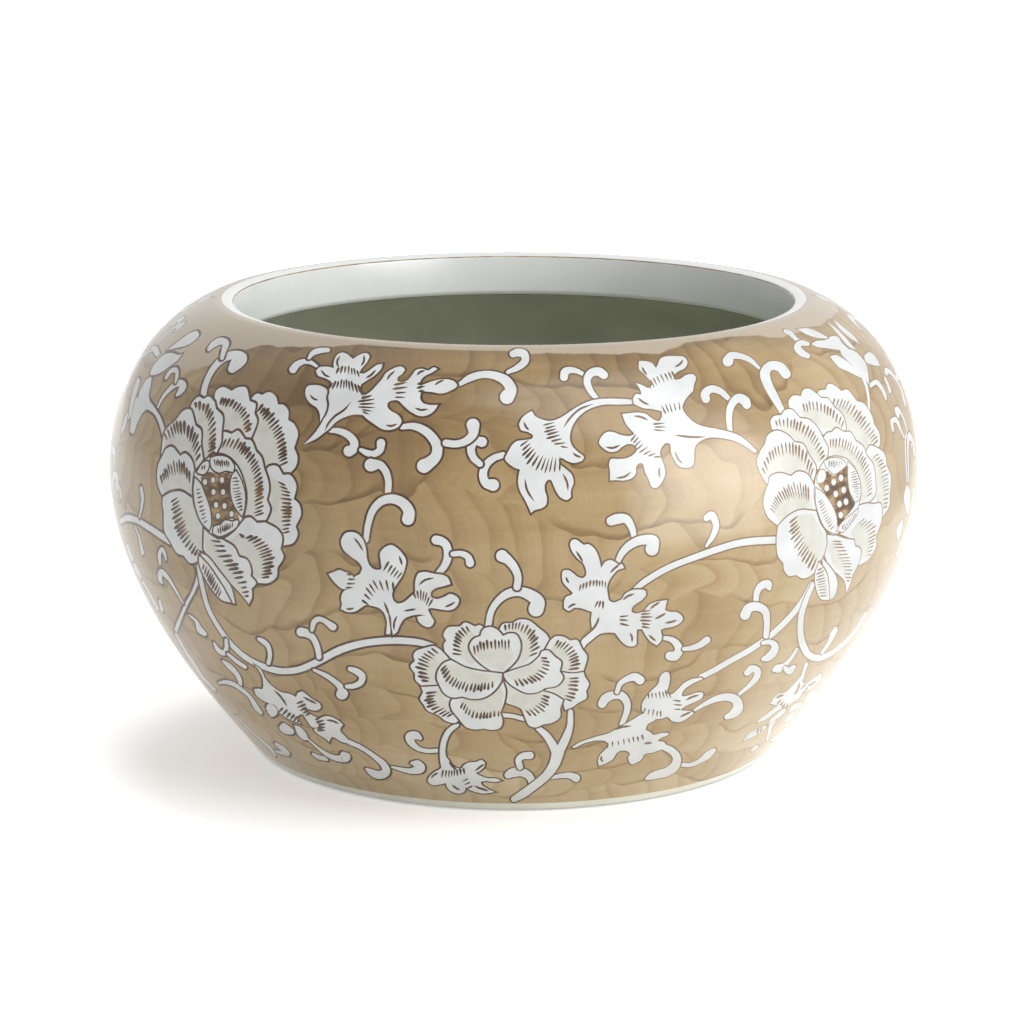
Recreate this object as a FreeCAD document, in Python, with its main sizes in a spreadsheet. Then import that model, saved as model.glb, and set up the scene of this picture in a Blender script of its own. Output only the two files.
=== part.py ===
# Round porcelain planter: a glazed bowl with an in-turned lip, a drain plug and foot pads.
# Millimetres, +Z up along the axis of turning, with the origin on the floor under the middle of the bowl.
import FreeCAD
import Part
import Sketcher
import math
import os
import re
from FreeCAD import Vector

# Driving sizes, in millimetres and degrees
SIZES = {
    # Outline of the bowl
    "overall_height": 178,
    "belly_diameter": 318,
    "belly_height": 111,
    "foot_diameter": 208.8,
    "foot_band_height": 3.2,
    "foot_band_taper": 40,
    "flank_angle": 38.3,
    "mouth_diameter": 217,
    "lip_width": 7,
    "lip_depth": 18,
    "crest_round": 4.5,
    "rim_land_width": 4.3,
    "rim_land_fall": 12,
    "rim_edge_round": 1.2,
    "lip_edge_round": 2.5,
    "shoulder_angle": 18.5,
    "underside_angle": 24,
    # Handles of the wall's curves, as parts of the rise of each stretch
    "flank_handle_share": 0.232,
    "lower_belly_handle_share": 0.417,
    "upper_belly_handle_share": 0.48,
    "shoulder_handle_share": 0.4,
    # Walls and floor
    "wall_thickness": 9,
    "floor_thickness": 10,
    "floor_corner_radius": 20,
    "foot_ring_width": 11,
    "foot_recess_depth": 5,
    "foot_recess_taper": 2,
    "foot_recess_corner_radius": 2,
    "foot_edge_radius": 0.8,
    # Drain hole and its plug
    "drain_diameter": 22,
    "drain_chamfer": 1,
    "plug_clearance": 0.05,
    "plug_flange_overlap": 6,
    "plug_flange_thickness": 3,
    "plug_flange_radius": 1.2,
    "plug_tail": 2,
    "plug_tail_chamfer": 1.5,
    "plug_neck_diameter": 9,
    "plug_knob_diameter": 14,
    "plug_neck_height": 4,
    # Pads under the foot ring
    "pad_thickness": 0.6,
    "pad_margin": 1.5,
    # Cuts run this far past the surface that they open
    "cut_overrun": 2,
}
PAD_COUNT = 4
# The first pad stands this part of a step round from the +X side
PAD_START_SHARE = 0.5
# Round edges are found to within this distance
EDGE_TOLERANCE = 0.0001

# Levels and radii that several pieces share
FOOT_LEVEL = "pad_thickness"
BAND_LEVEL = "(pad_thickness + foot_band_height)"
RECESS_LEVEL = "(pad_thickness + foot_recess_depth)"
FLOOR_LEVEL = "(pad_thickness + foot_recess_depth + floor_thickness)"
FOOT_RADIUS = "(foot_diameter / 2)"
BAND_RADIUS = "(foot_diameter / 2 + foot_band_height * tan(foot_band_taper))"
BELLY_RADIUS = "(belly_diameter / 2)"
INNER_RADIUS = "(belly_diameter / 2 - wall_thickness)"
CREST_CIRCLE = "(mouth_diameter / 2 + lip_width)"
RING_MIDDLE = "(foot_diameter / 2 - foot_ring_width / 2)"

doc = FreeCAD.newDocument("planter")
sheet = doc.addObject("Spreadsheet::Sheet", "sizes")
for row, (alias, value) in enumerate(SIZES.items(), start=1):
    sheet.set(f"A{row}", alias)
    sheet.set(f"B{row}", str(value))
    sheet.setAlias(f"B{row}", alias)
doc.recompute()


def tied(text):
    """The expression for a sum written in the names of sizes."""
    return re.sub(r"[a-z_]+", lambda word: f"sizes.{word[0]}" if word[0] in SIZES else word[0], text)


def size_of(text):
    """The present value of a sum written in the names of sizes."""
    return float(sheet.evalExpression(tied(text)))


def at(x_text, y_text):
    return Vector(size_of(x_text), size_of(y_text), 0)


def new_body(label):
    body = doc.addObject("PartDesign::Body", label)
    body.Label = label
    return body


def new_sketch(body, name, plane_role):
    sketch = body.newObject("Sketcher::SketchObject", name)
    plane = next(f for f in body.Origin.OriginFeatures if f.Role == plane_role)
    sketch.AttachmentSupport = [(plane, "")]
    sketch.MapMode = "FlatFace"
    return sketch


def tie_distance(sketch, kind, geometry, point, text):
    """Holds one coordinate of a point at a sum of sizes."""
    place = sketch.addConstraint(Sketcher.Constraint(kind, -1, 1, geometry, point, size_of(text)))
    sketch.setExpression(f"Constraints[{place}]", tied(text))


def pin(sketch, geometry, point, x_text, y_text):
    """Holds a point at a place that follows the sizes; a zero puts it on the axis."""
    if x_text == "0":
        sketch.addConstraint(Sketcher.Constraint("PointOnObject", geometry, point, -2))
    else:
        tie_distance(sketch, "DistanceX", geometry, point, x_text)
    tie_distance(sketch, "DistanceY", geometry, point, y_text)


def join(sketch, first, second):
    """The end of one stretch is the start of the next."""
    sketch.addConstraint(Sketcher.Constraint("Coincident", first, 2, second, 1))


def add_curve(sketch, poles, pinned):
    """A cubic curve on four poles, of which the pinned ones follow the sizes."""
    curve = Part.BSplineCurve()
    curve.buildFromPolesMultsKnots([at(*pole) for pole in poles], [4, 4], [0, 1], False, 3)
    geometry = sketch.addGeometry(curve, False)
    sketch.exposeInternalGeometry(geometry)
    for number in pinned:
        pin(sketch, geometry + 1 + number, 3, *poles[number])
    return geometry


def add_polygon(sketch, corners):
    """A closed outline of straight lines through corners that follow the sizes."""
    points = [at(*corner) for corner in corners]
    lines = []
    for start, end in zip(points, points[1:] + points[:1]):
        lines.append(sketch.addGeometry(Part.LineSegment(start, end), False))
    for number, line in enumerate(lines):
        join(sketch, lines[number - 1], line)
        pin(sketch, line, 1, *corners[number])
    return lines


def add_feature(body, kind, name, sketch):
    feature = body.newObject(kind, name)
    feature.Profile = sketch
    sketch.Visibility = False
    return feature


def turn(body, kind, name, sketch):
    """A revolution or groove of a section about the upright axis."""
    feature = add_feature(body, kind, name, sketch)
    feature.ReferenceAxis = (sketch, ["V_Axis"])
    feature.Angle = 360
    doc.recompute()
    return feature


def ring_edges(feature, rings):
    """Names of the round edges at the given radii and heights."""
    names = []
    for radius, height in rings:
        for number, edge in enumerate(feature.Shape.Edges, start=1):
            if edge.Degenerated or not isinstance(edge.Curve, Part.Circle):
                continue
            near_height = math.isclose(edge.Curve.Center.z, height, abs_tol=EDGE_TOLERANCE)
            if near_height and math.isclose(edge.Curve.Radius, radius, abs_tol=EDGE_TOLERANCE):
                names.append(f"Edge{number}")
    return names


def soften(body, kind, name, base, rings, size_text):
    """A fillet or chamfer on round edges given by sums for radius and height."""
    feature = body.newObject(kind, name)
    places = [(size_of(radius), size_of(height)) for radius, height in rings]
    feature.Base = (base, ring_edges(base, places))
    bound = "Radius" if kind == "PartDesign::Fillet" else "Size"
    feature.setExpression(bound, tied(size_text))
    doc.recompute()
    return feature


# Section of the bowl's wall, drawn from the foot up the outside, over the lip and down the inside
def draw_wall_section(sketch):
    lower_rise = f"(belly_height - {BAND_LEVEL})"
    upper_rise = "(overall_height - belly_height)"
    inner_lower_rise = f"(belly_height - {FLOOR_LEVEL})"
    inner_upper_rise = "(overall_height - lip_depth - belly_height)"

    flank = [
        (BAND_RADIUS, BAND_LEVEL),
        (f"{BAND_RADIUS} + flank_handle_share * {lower_rise} * sin(flank_angle)",
         f"{BAND_LEVEL} + flank_handle_share * {lower_rise} * cos(flank_angle)"),
        (BELLY_RADIUS, f"belly_height - lower_belly_handle_share * {lower_rise}"),
        (BELLY_RADIUS, "belly_height"),
    ]
    crest = (CREST_CIRCLE, "overall_height - crest_round")
    brow_x = f"({CREST_CIRCLE} + crest_round * sin(shoulder_angle))"
    brow_y = f"({crest[1]} + crest_round * cos(shoulder_angle))"
    shoulder = [
        (BELLY_RADIUS, "belly_height"),
        (BELLY_RADIUS, f"belly_height + upper_belly_handle_share * {upper_rise}"),
        (f"{brow_x} + shoulder_handle_share * {upper_rise} * cos(shoulder_angle)",
         f"{brow_y} - shoulder_handle_share * {upper_rise} * sin(shoulder_angle)"),
        (brow_x, brow_y),
    ]
    round_drop = "(crest_round - rim_edge_round)"
    rim_edge = (
        f"{CREST_CIRCLE} - {round_drop} * sin(rim_land_fall) - rim_land_width * cos(rim_land_fall)",
        f"{crest[1]} + {round_drop} * cos(rim_land_fall) - rim_land_width * sin(rim_land_fall)",
    )
    lip_edge = ("mouth_diameter / 2 + lip_edge_round", "overall_height - lip_depth + lip_edge_round")
    under_x = f"({lip_edge[0]} - lip_edge_round * sin(underside_angle))"
    under_y = f"({lip_edge[1]} - lip_edge_round * cos(underside_angle))"
    vault = [
        (under_x, under_y),
        (f"{under_x} + shoulder_handle_share * {upper_rise} * cos(underside_angle)",
         f"{under_y} - shoulder_handle_share * {upper_rise} * sin(underside_angle)"),
        (INNER_RADIUS, f"belly_height + upper_belly_handle_share * {inner_upper_rise}"),
        (INNER_RADIUS, "belly_height"),
    ]
    # The inner flank starts on the floor, one wall's thickness inside the outer flank
    floor_edge = (f"({BAND_RADIUS} - wall_thickness / cos(flank_angle)"
                  f" + ({FLOOR_LEVEL} - {BAND_LEVEL}) * tan(flank_angle))")
    basin = [
        (INNER_RADIUS, "belly_height"),
        (INNER_RADIUS, f"belly_height - lower_belly_handle_share * {inner_lower_rise}"),
        (f"{floor_edge} + flank_handle_share * {inner_lower_rise} * sin(flank_angle)",
         f"{FLOOR_LEVEL} + flank_handle_share * {inner_lower_rise} * cos(flank_angle)"),
        (floor_edge, FLOOR_LEVEL),
    ]

    def add_line(start, end):
        return sketch.addGeometry(Part.LineSegment(start, end), False)

    def on_round(centre, round_text, angle):
        return at(*centre) + FreeCAD.Rotation(Vector(0, 0, 1), angle).multVec(at(round_text, "0"))

    def add_arc(centre, round_text, start_angle, end_angle):
        circle = Part.Circle(at(*centre), Vector(0, 0, 1), size_of(round_text))
        arc = Part.ArcOfCircle(circle, math.radians(start_angle), math.radians(end_angle))
        geometry = sketch.addGeometry(arc, False)
        pin(sketch, geometry, 3, *centre)
        return geometry

    # The lip's face leans by the slope of the line that touches both of its rounded edges
    apart = at(*rim_edge) - at(*lip_edge)
    round_change = size_of("rim_edge_round - lip_edge_round")
    lean = math.degrees(math.atan2(apart.x, apart.y) - math.asin(round_change / apart.Length))
    face_angle = 180 - lean
    land_angle = 90 + size_of("rim_land_fall")

    sole = add_line(at("0", FOOT_LEVEL), at(FOOT_RADIUS, FOOT_LEVEL))
    band = add_line(at(FOOT_RADIUS, FOOT_LEVEL), at(BAND_RADIUS, BAND_LEVEL))
    pin(sketch, sole, 1, "0", FOOT_LEVEL)
    pin(sketch, band, 1, FOOT_RADIUS, FOOT_LEVEL)
    flank_curve = add_curve(sketch, flank, (0, 1, 2, 3))
    shoulder_curve = add_curve(sketch, shoulder, (1, 2, 3))
    crest_arc = add_arc(crest, "crest_round", 90 - size_of("shoulder_angle"), land_angle)
    land = add_line(on_round(crest, "crest_round", land_angle),
                    on_round(rim_edge, "rim_edge_round", land_angle))
    rim_arc = add_arc(rim_edge, "rim_edge_round", land_angle, face_angle)
    place = sketch.addConstraint(Sketcher.Constraint("Radius", rim_arc, size_of("rim_edge_round")))
    sketch.setExpression(f"Constraints[{place}]", tied("rim_edge_round"))
    face = add_line(on_round(rim_edge, "rim_edge_round", face_angle),
                    on_round(lip_edge, "lip_edge_round", face_angle))
    edge_arc = add_arc(lip_edge, "lip_edge_round", face_angle, 270 - size_of("underside_angle"))
    vault_curve = add_curve(sketch, vault, (0, 1, 2, 3))
    basin_curve = add_curve(sketch, basin, (1, 2, 3))
    floor = add_line(at(floor_edge, FLOOR_LEVEL), at("0", FLOOR_LEVEL))
    axis = add_line(at("0", FLOOR_LEVEL), at("0", FOOT_LEVEL))

    for first, second in ((sole, band), (band, flank_curve), (flank_curve, shoulder_curve),
                          (shoulder_curve, crest_arc), (edge_arc, vault_curve),
                          (vault_curve, basin_curve), (basin_curve, floor), (floor, axis), (axis, sole)):
        join(sketch, first, second)
    for first, second in ((crest_arc, land), (land, rim_arc), (rim_arc, face), (face, edge_arc)):
        sketch.addConstraint(Sketcher.Constraint("Tangent", first, 2, second, 1))
    sketch.addConstraint(Sketcher.Constraint("Horizontal", floor))
    sketch.addConstraint(Sketcher.Constraint("PointOnObject", floor, 2, -2))
    return floor_edge


def build_bowl():
    body = new_body("porcelain_body")
    section = new_sketch(body, "wall_section", "XZ_Plane")
    floor_edge = draw_wall_section(section)
    turned = turn(body, "PartDesign::Revolution", "turned_wall", section)

    ring_inside = f"({FOOT_RADIUS} - foot_ring_width)"
    recess_edge = f"({ring_inside} - foot_recess_taper)"
    recess = new_sketch(body, "foot_section", "XZ_Plane")
    slope_below = "foot_recess_taper * cut_overrun / foot_recess_depth"
    add_polygon(recess, [
        ("0", f"{FOOT_LEVEL} - cut_overrun"),
        (f"{ring_inside} + {slope_below}", f"{FOOT_LEVEL} - cut_overrun"),
        (recess_edge, RECESS_LEVEL),
        ("0", RECESS_LEVEL),
    ])
    foot_recess = turn(body, "PartDesign::Groove", "foot_recess", recess)

    drain = new_sketch(body, "drain_circle", "XY_Plane")
    circle = drain.addGeometry(Part.Circle(Vector(0, 0, 0), Vector(0, 0, 1), size_of("drain_diameter / 2")))
    drain.addConstraint(Sketcher.Constraint("Coincident", circle, 3, -1, 1))
    place = drain.addConstraint(Sketcher.Constraint("Diameter", circle, size_of("drain_diameter")))
    drain.setExpression(f"Constraints[{place}]", tied("drain_diameter"))
    hole = add_feature(body, "PartDesign::Pocket", "drain_hole", drain)
    hole.Reversed = True
    hole.setExpression("Length", tied(f"{FLOOR_LEVEL} + cut_overrun"))
    doc.recompute()

    drain_rim = soften(body, "PartDesign::Chamfer", "drain_rim", hole,
                       [("drain_diameter / 2", RECESS_LEVEL), ("drain_diameter / 2", FLOOR_LEVEL)],
                       "drain_chamfer")
    foot_edges = soften(body, "PartDesign::Fillet", "foot_edges", drain_rim,
                        [(FOOT_RADIUS, FOOT_LEVEL), (ring_inside, FOOT_LEVEL)], "foot_edge_radius")
    recess_corner = soften(body, "PartDesign::Fillet", "recess_corner", foot_edges,
                           [(recess_edge, RECESS_LEVEL)], "foot_recess_corner_radius")
    soften(body, "PartDesign::Fillet", "floor_corner", recess_corner,
           [(floor_edge, FLOOR_LEVEL)], "floor_corner_radius")
    volumes = [feature.Shape.Volume for feature in (turned, foot_recess, hole)]
    print("bowl volumes, mm3:", [round(volume) for volume in volumes], round(body.Shape.Volume))
    if not volumes[0] > volumes[1] > volumes[2]:
        raise RuntimeError("a cut in the bowl removed nothing")
    return body


# Rubber plug: a shank in the drain hole, a flange on the floor and a knob to lift it by
def build_plug():
    body = new_body("drain_plug")
    section = new_sketch(body, "plug_section", "XZ_Plane")
    shank = "(drain_diameter / 2 - plug_clearance)"
    flange = "(drain_diameter / 2 + plug_flange_overlap)"
    neck = "plug_neck_diameter / 2"
    knob = "(plug_knob_diameter / 2)"
    tail_level = f"({RECESS_LEVEL} - plug_tail)"
    flange_top = f"({FLOOR_LEVEL} + plug_flange_thickness)"
    knob_level = f"({flange_top} + plug_neck_height)"
    lines = add_polygon(section, [
        ("0", tail_level),
        (f"{shank} - plug_tail_chamfer", tail_level),
        (shank, f"{tail_level} + plug_tail_chamfer"),
        (shank, FLOOR_LEVEL),
        (flange, FLOOR_LEVEL),
        (flange, flange_top),
        (neck, flange_top),
        (neck, knob_level),
        (knob, knob_level),
        ("0", f"{knob_level} + {knob}"),
    ])
    # The knob's top is a quarter round in place of the last slanting line
    dome_line = lines[-2]
    section.toggleConstruction(dome_line)
    circle = Part.Circle(at("0", knob_level), Vector(0, 0, 1), size_of(knob))
    dome = section.addGeometry(Part.ArcOfCircle(circle, 0, math.pi / 2), False)
    section.addConstraint(Sketcher.Constraint("Coincident", dome, 1, dome_line, 1))
    section.addConstraint(Sketcher.Constraint("Coincident", dome, 2, dome_line, 2))
    section.addConstraint(Sketcher.Constraint("PointOnObject", dome, 3, -2))
    turned = turn(body, "PartDesign::Revolution", "turned_plug", section)
    soften(body, "PartDesign::Fillet", "plug_edges", turned,
           [(flange, flange_top), (neck, flange_top), (knob, knob_level)], "plug_flange_radius")
    return body


# Thin round pads, spread evenly under the middle of the foot ring
def build_pads():
    pads = []
    for number in range(PAD_COUNT):
        label = f"foot_pad_{number + 1}"
        pad = doc.addObject("Part::Cylinder", label)
        pad.Label = label
        pad.setExpression("Radius", tied("foot_ring_width / 2 - pad_margin"))
        pad.setExpression("Height", tied("pad_thickness"))
        angle = 360 * (number + PAD_START_SHARE) / PAD_COUNT
        pad.setExpression("Placement.Base.x", tied(f"{RING_MIDDLE} * cos({angle})"))
        pad.setExpression("Placement.Base.y", tied(f"{RING_MIDDLE} * sin({angle})"))
        pads.append(pad)
    return pads


def check_and_write(pieces):
    doc.recompute()
    for item in doc.Objects:
        if "Invalid" in item.State or "Error" in item.State:
            raise RuntimeError(f"{item.Label} did not compute")
    for piece in pieces:
        shape = piece.Shape
        if shape.isNull() or not shape.isValid() or len(shape.Solids) != 1:
            raise RuntimeError(f"{piece.Label} is not one sound solid")
    os.makedirs("parts", exist_ok=True)
    for piece in pieces:
        piece.Shape.exportStep(f"parts/{piece.Label}.step")
        print(piece.Label, "volume, mm3:", round(piece.Shape.Volume))


check_and_write([build_bowl(), build_plug()] + build_pads())
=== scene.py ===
"""Painted porcelain planter with its drain plug and foot pads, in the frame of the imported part."""
import math
import bmesh
import bpy
import numpy as np
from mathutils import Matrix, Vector
from mathutils.geometry import delaunay_2d_cdt


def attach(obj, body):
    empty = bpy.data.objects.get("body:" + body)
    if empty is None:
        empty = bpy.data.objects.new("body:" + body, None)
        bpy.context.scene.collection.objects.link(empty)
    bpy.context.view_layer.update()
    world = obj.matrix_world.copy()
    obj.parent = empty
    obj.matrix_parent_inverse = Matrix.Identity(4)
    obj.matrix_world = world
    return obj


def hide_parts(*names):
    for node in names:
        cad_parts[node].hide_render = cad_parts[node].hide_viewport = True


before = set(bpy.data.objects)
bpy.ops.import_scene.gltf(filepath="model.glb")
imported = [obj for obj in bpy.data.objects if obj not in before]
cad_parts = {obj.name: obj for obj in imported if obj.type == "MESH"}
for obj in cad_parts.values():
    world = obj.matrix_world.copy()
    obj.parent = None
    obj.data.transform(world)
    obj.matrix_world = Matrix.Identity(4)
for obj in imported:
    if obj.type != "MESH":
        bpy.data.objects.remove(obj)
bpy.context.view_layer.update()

# Camera that matches the photo, worked out from the outline of the bowl
PHOTO_SIDE = 1024
VIEW_RISE = math.radians(12.94)
VIEW_DISTANCE = 1.304
BELLY_PIXELS = 399.85
BELLY_RADIUS = 0.159
PIXELS_PER_METRE = BELLY_PIXELS / BELLY_RADIUS
AXIS_X = 513.8
AXIS_Y = 515.6
SENSOR_WIDTH = 36.0

# Places on the bowl's section, in metres
MILLIMETRE = 0.001
BODY_HEIGHT = 0.178
PAINT_LOW = 0.0038
PAINT_TOP_RADIUS = 0.1142
RING_LINE_RADIUS = 0.10972
RING_LINE_WIDTH = 0.0004
THROAT_LEVEL = 0.1602
DRAIN_REACH = 0.0125
FLOOR_LEVEL = 0.0152
FOOT_STAND = 0.0009
FOOT_INNER = 0.101
RECESS_RADIUS = 0.1

# Turns, in radians
FULL_TURN = 2 * math.pi
HALF_TURN = math.pi
QUARTER_TURN = math.pi / 2

# Steps and limits of the drawing and the mesh
CURVE_STEPS = 12
CAP_STEPS = 8
DRAW_TOLERANCE = 0.14
PAST_CREST = 6
SEARCH_REACH = 0.2
SEARCH_STEPS = 40
WALL_END_GAP = MILLIMETRE / 4
OUTLINE_END_GAP = MILLIMETRE / 8
MITRE_LIMIT = 0.9
SECTION_DIGITS = 6
SECTION_GAP = 1e-6
STEP_GAP = 1e-6
LIP_GAP = 1e-5
TINY = 1e-9
TINIEST = 1e-12

# Brush lines: outlines in metres, strokes in the photo's pixels
OUTLINE_WIDTH = 0.00072
POD_OUTLINE_WIDTH = OUTLINE_WIDTH * 0.8
SMALL_PETAL_OUTLINE_WIDTH = OUTLINE_WIDTH * 0.7
BOLDER_AT_LEFT = 0.5
HATCH_BOLDER_AT_LEFT = 0.6 * BOLDER_AT_LEFT
BOLDEST_ANGLE = -1
FINEST_OUTLINE_ANGLE = 0.6
FINEST_HATCH_ANGLE = 0.8
TURN_AWAY = 1.5
NARROWEST_STROKE = 0.3
NARROWEST_HATCH = 0.6
THINNEST_STROKE = 0.4

# Hatch strokes, in the photo's pixels and in shares of a stroke's length and width
HATCH_SAMPLES = 61
HATCH_SLANT_SHARE = 0.1
CLOSEST_HATCH = 1.25
FEWEST_HATCHES = 2
MEAN_HATCH_WIDTH = 0.85
LONGER_AT_START = 0.4
LONGER_AT_END = 0.6
HATCH_TAPER = ((0, 0.2), (0.3, 0.7), (0.75, 1), (1, 0.45))
PETAL_HATCH_WIDTH = 3.0
PETAL_HATCH_SHARE = 0.9
LEAF_HATCH_WIDTH = 2.6
LEAF_HATCH_SHARE = 0.85
LEAF_HATCH_LONGER = 0.35
LEAF_ROW_LONGER = 0.14
FEWEST_LEAF_HATCHES = 3
POD_HATCH_WIDTH = 1.6

# Uneven hand of the hatch strokes: size, pace from stroke to stroke, pace from shape to shape
SPOT_WOBBLE = (0.14, 7.3, 1)
START_WOBBLE = (0.08, 4.1, 2)
END_WOBBLE = (0.1, 3.3, 1)
WIDTH_WOBBLE = (0.2, 5.7, 3)

# Veins, petal hearts and the dots of the seed pods
VEIN_WIDTH = 2.2
VEIN_SWELL = 1.6
VEIN_TIP = 0.25
VEIN_STEP = 3
HEART_SHARE = 0.4
HEART_STEP = 6
DOT_POINTS = 14
DOT_STRETCH = 1.4

# The chart of the painted wall, and the faces cut from it
CHART_RADIUS = 0.14
CHART_SCALE = 1 / MILLIMETRE
GRID_STEP = 0.0045
GRID_START = 0.25
GRID_SHIFT = 0.5
COLUMNS = 288
CUT_TOLERANCE = 1e-4
WELD = 2e-6
ON_WALL = 20 * WELD
SHARP_BEND = 35
SIDE_CLEAR = 1.3
SIDE_FILL_REACH = 0.36

# Paints by the number of their material slot
GROUND, WHITE, CREAM, LINE, FIELD, LIP, RING_LINE, INSIDE, UNDER, FOOT_BAND = range(10)


# Curves through given points

def run_along(points):
    """Length along the points, from 0 at the first."""
    return np.concatenate([[0], np.cumsum(np.hypot(*np.diff(points, axis=0).T))])


def bend_through(points):
    """Dense points on a smooth open curve through the given rows."""
    rows = np.asarray(points, float)
    if len(rows) == 2:
        return rows
    ends = np.vstack([2 * rows[0] - rows[1], rows, 2 * rows[-1] - rows[-2]])
    steps = np.sqrt(np.linalg.norm(np.diff(ends[:, :2], axis=0), axis=1)) + STEP_GAP
    pieces = []
    for i in range(1, len(ends) - 2):
        a, b, c = steps[i - 1], steps[i], steps[i + 1]
        p0, p1, p2, p3 = ends[i - 1:i + 3]
        lead = (p1 - p0) / a - (p2 - p0) / (a + b) + (p2 - p1) / b
        tail = (p2 - p1) / b - (p3 - p1) / (b + c) + (p3 - p2) / c
        t = np.linspace(0, 1, CURVE_STEPS + 1)[:-1, None]
        pieces.append((2 * t ** 3 - 3 * t ** 2 + 1) * p1 + (t ** 3 - 2 * t ** 2 + t) * lead * b
                      + (3 * t ** 2 - 2 * t ** 3) * p2 + (t ** 3 - t ** 2) * tail * b)
    pieces.append(rows[-1:])
    return np.vstack(pieces)


def thin_out(points, tolerance):
    """Drops the points that lie within the tolerance of the line between kept ones."""
    keep = np.zeros(len(points), bool)
    keep[[0, -1]] = True
    spans = [(0, len(points) - 1)]
    while spans:
        first, last = spans.pop()
        if last - first < 2:
            continue
        chord = points[last] - points[first]
        inner = points[first + 1:last] - points[first]
        size = np.hypot(*chord)
        if size < TINY:
            away = np.hypot(inner[:, 0], inner[:, 1])
        else:
            away = np.abs(inner[:, 0] * chord[1] - inner[:, 1] * chord[0]) / size
        worst = int(np.argmax(away))
        if away[worst] > tolerance:
            middle = first + 1 + worst
            keep[middle] = True
            spans += [(first, middle), (middle, last)]
    return points[keep]


def closed_outline(points):
    """Closed outline through pixel points; a third value of 1 marks a corner."""
    corners = [i for i, p in enumerate(points) if len(p) > 2] or [0]
    places = np.array([p[:2] for p in points], float)
    parts = []
    for at, first in enumerate(corners):
        last = corners[(at + 1) % len(corners)]
        if last <= first:
            last += len(places)
        span = [places[i % len(places)] for i in range(first, last + 1)]
        parts.append(thin_out(bend_through(span), DRAW_TOLERANCE)[:-1])
    return np.vstack(parts)


def narrowing(angle, least):
    """Share of its width that a stroke keeps where the wall turns away."""
    return np.clip(TURN_AWAY * np.cos(angle), least, 1)


def stroke_outline(points):
    """Outline of a brush stroke with round ends, from rows of x, y and width."""
    dense = bend_through(points)
    run = np.gradient(dense[:, :2], axis=0)
    run /= np.linalg.norm(run, axis=1)[:, None] + TINY
    side = np.column_stack([-run[:, 1], run[:, 0]])
    half = np.clip(dense[:, 2:3], THINNEST_STROKE, None) / 2
    seen = narrowing(onto_wall(dense[:, :2])[:, 0], NARROWEST_STROKE)
    squash = np.column_stack([seen, np.ones(len(dense))])
    left = thin_out(dense[:, :2] + side * half * squash, DRAW_TOLERANCE)
    right = thin_out(dense[:, :2] - side * half * squash, DRAW_TOLERANCE)[::-1]

    def cap(at, along, across):
        turns = np.linspace(0, HALF_TURN, CAP_STEPS + 1)[1:-1, None]
        return dense[at, :2] + half[at] * squash[at] * (np.cos(turns) * across + np.sin(turns) * along)

    return np.vstack([left, cap(-1, run[-1], side[-1]), right, cap(0, -run[0], -side[0])])


# The outer wall of the bowl as a chart of angle and length along the wall

def wall_loop(node):
    """Radius and height of the bowl's section, in order from the drain hole under the foot to the floor."""
    key = {v.index: (round(v.co.x, SECTION_DIGITS), round(v.co.z, SECTION_DIGITS)) for v in node.data.vertices
           if abs(v.co.y) < SECTION_GAP and v.co.x > 0}
    beside = {}
    for edge in node.data.edges:
        a, b = edge.vertices
        if a in key and b in key and key[a] != key[b]:
            beside.setdefault(key[a], set()).add(key[b])
            beside.setdefault(key[b], set()).add(key[a])
    left = set(key.values())
    here = min(left, key=lambda p: (p[0], p[1]))
    found = []
    while True:
        found.append(here)
        left.discard(here)
        choices = [p for p in beside.get(here, ()) if p in left]
        choices = choices or [p for p in left if abs(p[1] - here[1]) < SECTION_GAP] or list(left)
        if not choices:
            return np.array(found)
        here = min(choices, key=lambda p: math.dist(p, here))


loop = wall_loop(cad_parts["porcelain_body"])
top_at = int(np.argmax(loop[:, 1]))
paint_at = int(np.argmin(np.abs(loop[:top_at, 1] - PAINT_LOW) + (loop[:top_at, 0] < RECESS_RADIUS)))
wall = bend_through(loop[paint_at:top_at + PAST_CREST])
past_belly = int(np.argmax(wall[:, 0]))
stop = past_belly + int(np.argmax(wall[past_belly:, 0] < PAINT_TOP_RADIUS))
wall = wall[:stop + 1]
wall_climb = np.maximum.accumulate(wall[:, 1]) + np.arange(len(wall)) * TINY
wall_run = run_along(wall)
wall_length = wall_run[-1]
wall_slope = np.gradient(wall, wall_run, axis=0)
wall_slope /= np.linalg.norm(wall_slope, axis=1)[:, None]


def wall_radius(run):
    return np.interp(run, wall_run, wall[:, 0])


def wall_height(run):
    return np.interp(run, wall_run, wall[:, 1])


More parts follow.
